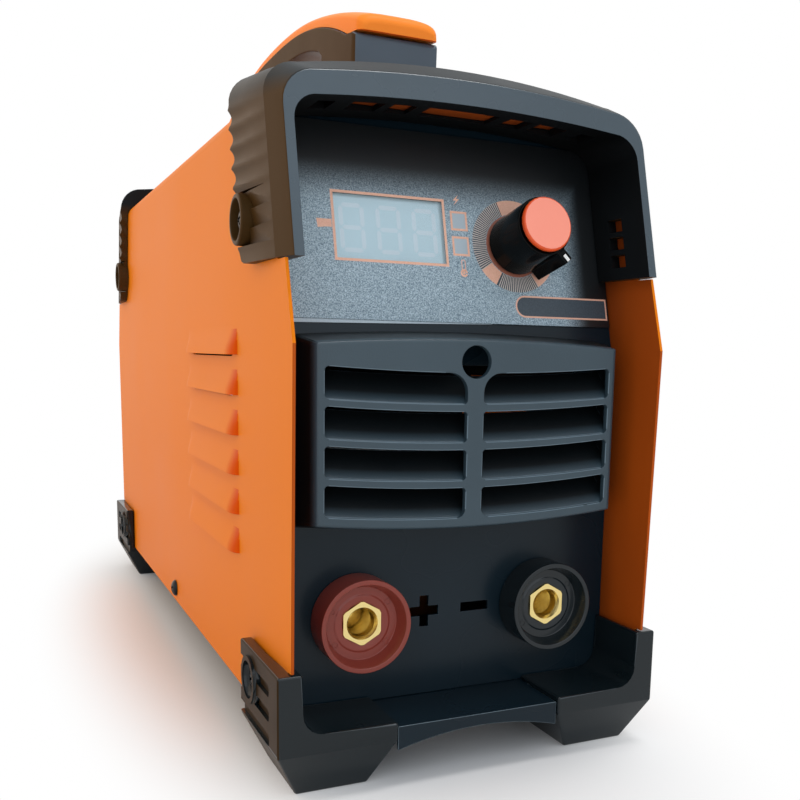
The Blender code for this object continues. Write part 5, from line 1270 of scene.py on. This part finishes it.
# ---- fan -----------------------------------------------------------------------------------
# A 92 mm axial fan, moulded in black ABS, sits inside the rear panel. Outside is its guard of
# drawn wire dipped in black: four rings welded to two crossing spokes, with four end pins.
fan_abs = moulded("fan_abs", "#17191B", 0.42, "#1C1E20", grain=0.0006)
fan_low, fan_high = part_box("fan_frame")
hub = Vector((0, 0, (fan_low.z + fan_high.z) / 2))
FAN_SCREW = 0.04125         # from the axle to the four screws, across and up
FAN_BORE, FAN_HUB, FAN_PIN = 0.0430, 0.0175, 0.0016
MOUNT = 0.0030              # thickness of the motor mount and its struts
BLADE_COUNT = 7


def fan_housing():
    half = (fan_high.x - fan_low.x) / 2
    ahead = Matrix.Translation((0, fan_high.y, hub.z)) @ OUTWARD
    depth = fan_high.y - fan_low.y
    plate = slab(rectangle(half, half), 0, depth, ahead, [0.0035] * 4)
    bore = turned([(0, -0.001), (FAN_BORE + 0.001, -0.001), (FAN_BORE, 0.0040),
                   (FAN_BORE, depth - 0.0040), (FAN_BORE + 0.001, depth + 0.001),
                   (0, depth + 0.001)], ahead, 96)
    waist = tube(0.0475, 0.0700, 0.0040, depth - 0.0040, ahead, 96)
    holes = [rod(0.0023, -0.001, depth + 0.001, ahead @ Matrix.Translation((x, z, 0)), 24)
             for x in (-FAN_SCREW, FAN_SCREW) for z in (-FAN_SCREW, FAN_SCREW)]
    shell = carved(carved(plate, bore), gathered(waist, *holes))
    face = depth - MOUNT
    mount = turned([(0.0019, face), (FAN_HUB, face), (FAN_HUB, depth - 0.0004),
                    (FAN_HUB - 0.0004, depth), (0.0019, depth), (0.0019, face)], ahead, 64)
    points = [(0.0170, -0.0020), (0.0445, -0.0020), (0.0445, 0.0020), (0.0170, 0.0020)]
    struts = [eased(slab(points, face, depth, turn), 0.0005) for turn in around(ahead, 4)]
    return gathered(shell, mount, *struts)


def fan_wheel():
    """Blades swept and twisted from root to tip, on a hub whose pin runs in the mount."""
    low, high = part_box("fan_rotor")
    axle = Matrix.Translation(hub) @ OUTWARD
    front, back = -high.y, -low.y
    seat, side = back - MOUNT - 0.0006, FAN_HUB - 0.0001
    cup = turned([(0, back), (FAN_PIN, back), (FAN_PIN, seat), (side, seat),
                  (side, front + 0.0024), (side - 0.0004, front + 0.0006),
                  (side - 0.0014, front), (0, front)], axle, 64)
    blades = []
    middle = (front + seat) / 2
    for turned_axle in around(axle, BLADE_COUNT):
        blade = bmesh.new()
        bmesh.ops.create_grid(blade, x_segments=8, y_segments=8, size=0.5)
        for v in blade.verts:
            out, across = v.co.x + 0.5, v.co.y
            radius = 0.0168 + 0.0236 * out
            pitch = radians(48 - 20 * out)
            chord = 0.0190 + 0.0030 * out
            turn = chord * across * cos(pitch) / radius + 0.35 * out * out
            rise = chord * across * sin(pitch) * 0.72 + 0.0012 * (1 - 4 * across * across)
            v.co = (radius * cos(turn), radius * sin(turn), middle + rise)
        bmesh.ops.recalc_face_normals(blade, faces=blade.faces)
        bmesh.ops.solidify(blade, geom=blade.faces[:], thickness=0.0011)
        bmesh.ops.transform(blade, verts=blade.verts, matrix=turned_axle)
        blades.append(blade)
    return gathered(cup, *blades)


def hoop(radius, wire, place):
    """A ring of round wire."""
    section = [(radius + wire * cos(a), wire * sin(a))
               for a in [tau * s for s in even_steps(12)]]
    return turned(section, place, 96)


def wire_guard():
    low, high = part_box("fan_guard")
    wire, depth = 0.0010, high.y - low.y
    ring_y = high.y - wire
    inwards = Matrix.Rotation(-pi / 2, 4, "X")
    back = Matrix.Translation((0, ring_y, hub.z)) @ inwards
    shapes = [hoop(0.0095 * i, wire * 0.96, back) for i in range(1, 5)]
    reach = FAN_SCREW * sqrt(2)
    for turn in (45, 135):
        along = Matrix.Translation((0, ring_y - wire, hub.z))
        along = along @ Matrix.Rotation(radians(turn), 4, "Y")
        shapes.append(rod(wire, -reach, reach, along, 16))
    pin = [(0, 0), (0.0019, 0), (0.0019, depth - 0.0010), (0.0015, depth - 0.0003),
           (0.0009, depth), (0, depth)]
    for x in (-FAN_SCREW, FAN_SCREW):
        for z in (-FAN_SCREW, FAN_SCREW):
            spot = Matrix.Translation((x, low.y, hub.z + z))
            shapes.append(turned(pin, spot @ inwards, 24))
    return gathered(*shapes)


fitted("fan_housing", fan_housing(), fan_abs, "fan_abs", ["fan_frame"])
fitted("fan_wheel", fan_wheel(), fan_abs, "fan_abs", ["fan_rotor"], "fan_rotor")
dipped = drawn_metal("black_dipped_steel", "#2A2B2D", 0.36, grain=1400.0)
fitted("wire_guard", wire_guard(), dipped, "black_steel", ["fan_guard"])


# ---- power switch, cable gland and earth screw ---------------------------------------------
# On the leaning part of the rear panel: a snap-in rocker switch with moulded marks, a nylon
# cable gland with a ribbed dome nut, and a brass hexagon screw on a toothed washer.
REAR = Matrix.Rotation(pi, 4, "Z")
ROCKER_PIVOT = 0.0010
ROCKER_TILT = radians(-12)
ROCKER_WING = radians(14)      # how far each half of its face rises to its end
ROCKER_REACH = 0.0106
GLAND_X, SWITCH_X, REAR_ROW_UP = -0.0300, 0.0300, 0.0460
GLAND_BORE = 0.0052
WASHER = 0.00002, 0.00028           # its back and its face, off the panel


def ribbed_gland():
    place = REAR @ on_panel(GLAND_X, REAR_ROW_UP)
    base = slab(hexagon(0.01125), 0.0003, 0.0060, place)
    base = carved(base, turned([(0, -0.001), (0.0131, -0.001), (0.0131, 0.0052),
                                (0.0121, 0.0062), (0, 0.0062)], place), "INTERSECT")
    dome = turned([(GLAND_BORE, 0.0055), (0.0093, 0.0055), (0.0093, 0.0118), (0.0090, 0.0132),
                   (0.0078, 0.0160), (0.0068, 0.0170), (0.0058, 0.0170), (GLAND_BORE, 0.0164),
                   (GLAND_BORE, 0.0055)], place, 72)
    neck = tube(GLAND_BORE, 0.0078, -0.0100, 0.0010, place, 48)
    rib = [(0.0088, -0.0005), (0.0097, -0.0003), (0.0097, 0.0003), (0.0088, 0.0005)]
    ribs = [slab(rib, 0.0062, 0.0120, turn) for turn in around(place, 18)]
    bored = rod(GLAND_BORE, 0, 0.0068, place)
    return gathered(eased(carved(base, bored), 0.0003), dome, neck, *ribs)


def rocker_marks():
    """Moulded I and O, at the two ends of the rocker."""
    place = REAR @ on_panel(SWITCH_X, REAR_ROW_UP) @ Matrix.Translation((0, 0, ROCKER_PIVOT))
    place = place @ Matrix.Rotation(ROCKER_TILT, 4, "X")
    root = Vector((0, 0, 0.0006))
    marks = []
    for way, mark in ((1, rectangle(0.0004, 0.0018)),
                      (-1, sector(0.0012, 0.0019, 0, FULL_TURN, 32))):
        end = ROCKER_REACH * Vector((0, way * cos(ROCKER_WING), sin(ROCKER_WING)))
        slope = (end - root).normalized()
        normal = Vector((1, 0, 0)).cross(slope) * way
        spot = Matrix((Vector((way, 0, 0)), slope, normal)).transposed().to_4x4()
        spot = place @ Matrix.Translation((end + root) / 2) @ spot
        marks.append(slab(mark, -0.0001, 0.0001, spot))
    return gathered(*marks)


def washer(x, up, inner, outer):
    place = REAR @ on_panel(x, up)
    root = inner + 0.0010
    tooth = [(root, -0.0005), (outer, -0.0007), (outer, 0.0007), (root, 0.0005)]
    teeth = [slab(tooth, *WASHER, turn) for turn in around(place, 12)]
    return gathered(tube(inner, outer - 0.0010, *WASHER, place, 48), *teeth)


switch_abs = moulded("switch_nylon", "#141516", 0.45, "#191A1B", grain=0.0004)
fitted("switch_bezel", eased(from_cad("power_switch_body"), 0.0005, 3), switch_abs,
       "switch_abs", ["power_switch_body"])
fitted("switch_rocker", eased(from_cad("power_rocker"), 0.0003),
       moulded("rocker_polycarbonate", "#A3121A", 0.22, "#8F0F16", clearcoat=0.3),
       "rocker_red", ["power_rocker"], "power_rocker")
fitted("rocker_marks", rocker_marks(), screen_ink("mark_ink", "#EDEDEA", "#DADAD6"),
       "rocker_red", (), "power_rocker")
gland_nylon = moulded("gland_nylon", "#17191A", 0.5, "#1E2021", grain=0.0005)
fitted("ribbed_gland", ribbed_gland(), gland_nylon, "gland_nylon", ["cable_gland"])
dress(gland_nylon, "gland_locknut")
fitted("earth_hexagon", eased(from_cad("earth_screw"), 0.0003),
       machined_brass(middle_of("earth_screw")), "earth_brass", ["earth_screw"])
fitted("earth_washer", washer(0.0500, 0.0190, 0.0030, 0.0062), zinc, "zinc_steel")


# ---- screws --------------------------------------------------------------------------------
# Black pan-head screws with a cross recess hold the hoods, the feet and the cover, and two
# zinc ones hold the handle from inside. Their threads are left out.
HEAD_RADIUS = 0.0038
HEAD_HEIGHT = 0.0020
RECESS_TURN = 0.5           # radians from the piece's own axes to the recess


def pan_head(seat, direction):
    """A screw drawn along Z from its seat, with a domed head, a shank and a cross recess."""
    turn = Vector(direction).to_track_quat("Z", "Y").to_matrix().to_4x4()
    dome = [(HEAD_RADIUS * cos(a), HEAD_HEIGHT * sin(a))
            for a in [s * pi / 2 for s in even_steps(8)]]
    head = turned([(0, -0.0080), (0.0016, -0.0080), (0.0019, -0.0070), (0.0019, 0), (0.0034, 0)]
                  + dome[:-1] + [(0, HEAD_HEIGHT)], Matrix.Identity(4), 48)
    wing = [(-0.0001, -0.00045), (0.0021, -0.00035), (0.0021, 0.00035), (-0.0001, 0.00045)]
    wings = [slab(wing, 0.0008, 0.0030, place)
             for place in around(Matrix.Rotation(RECESS_TURN, 4, "Z"), 4)]
    cross = wings[0]
    for arm in wings[1:]:
        cross = carved(cross, arm, "UNION")
    work = carved(head, cross)
    bmesh.ops.transform(work, matrix=Matrix.Translation(seat) @ turn, verts=work.verts)
    return work


def screw_seat(name, direction):
    low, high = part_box(name)
    reach = Vector([d * (h - l) / 2 for d, l, h in zip(direction, low, high)])
    return middle_of(name) + reach - Vector(direction) * HEAD_HEIGHT


screws = {f"{kind}_screw_{end}_{hand}": (side, 0, 0) for kind in ("hood", "foot")
          for end in ("front", "rear") for hand, side in (("left", -1), ("right", 1))}
screws.update(cover_screw_left=(-1, 0, 0), cover_screw_right=(1, 0, 0),
              handle_screw_front=(0, 0, -1), handle_screw_rear=(0, 0, -1))
for name, direction in screws.items():
    finish = (zinc, "zinc_steel") if name.startswith("handle") else (dipped, "black_steel")
    fitted(name + "_head", pan_head(screw_seat(name, direction), direction), *finish, [name])
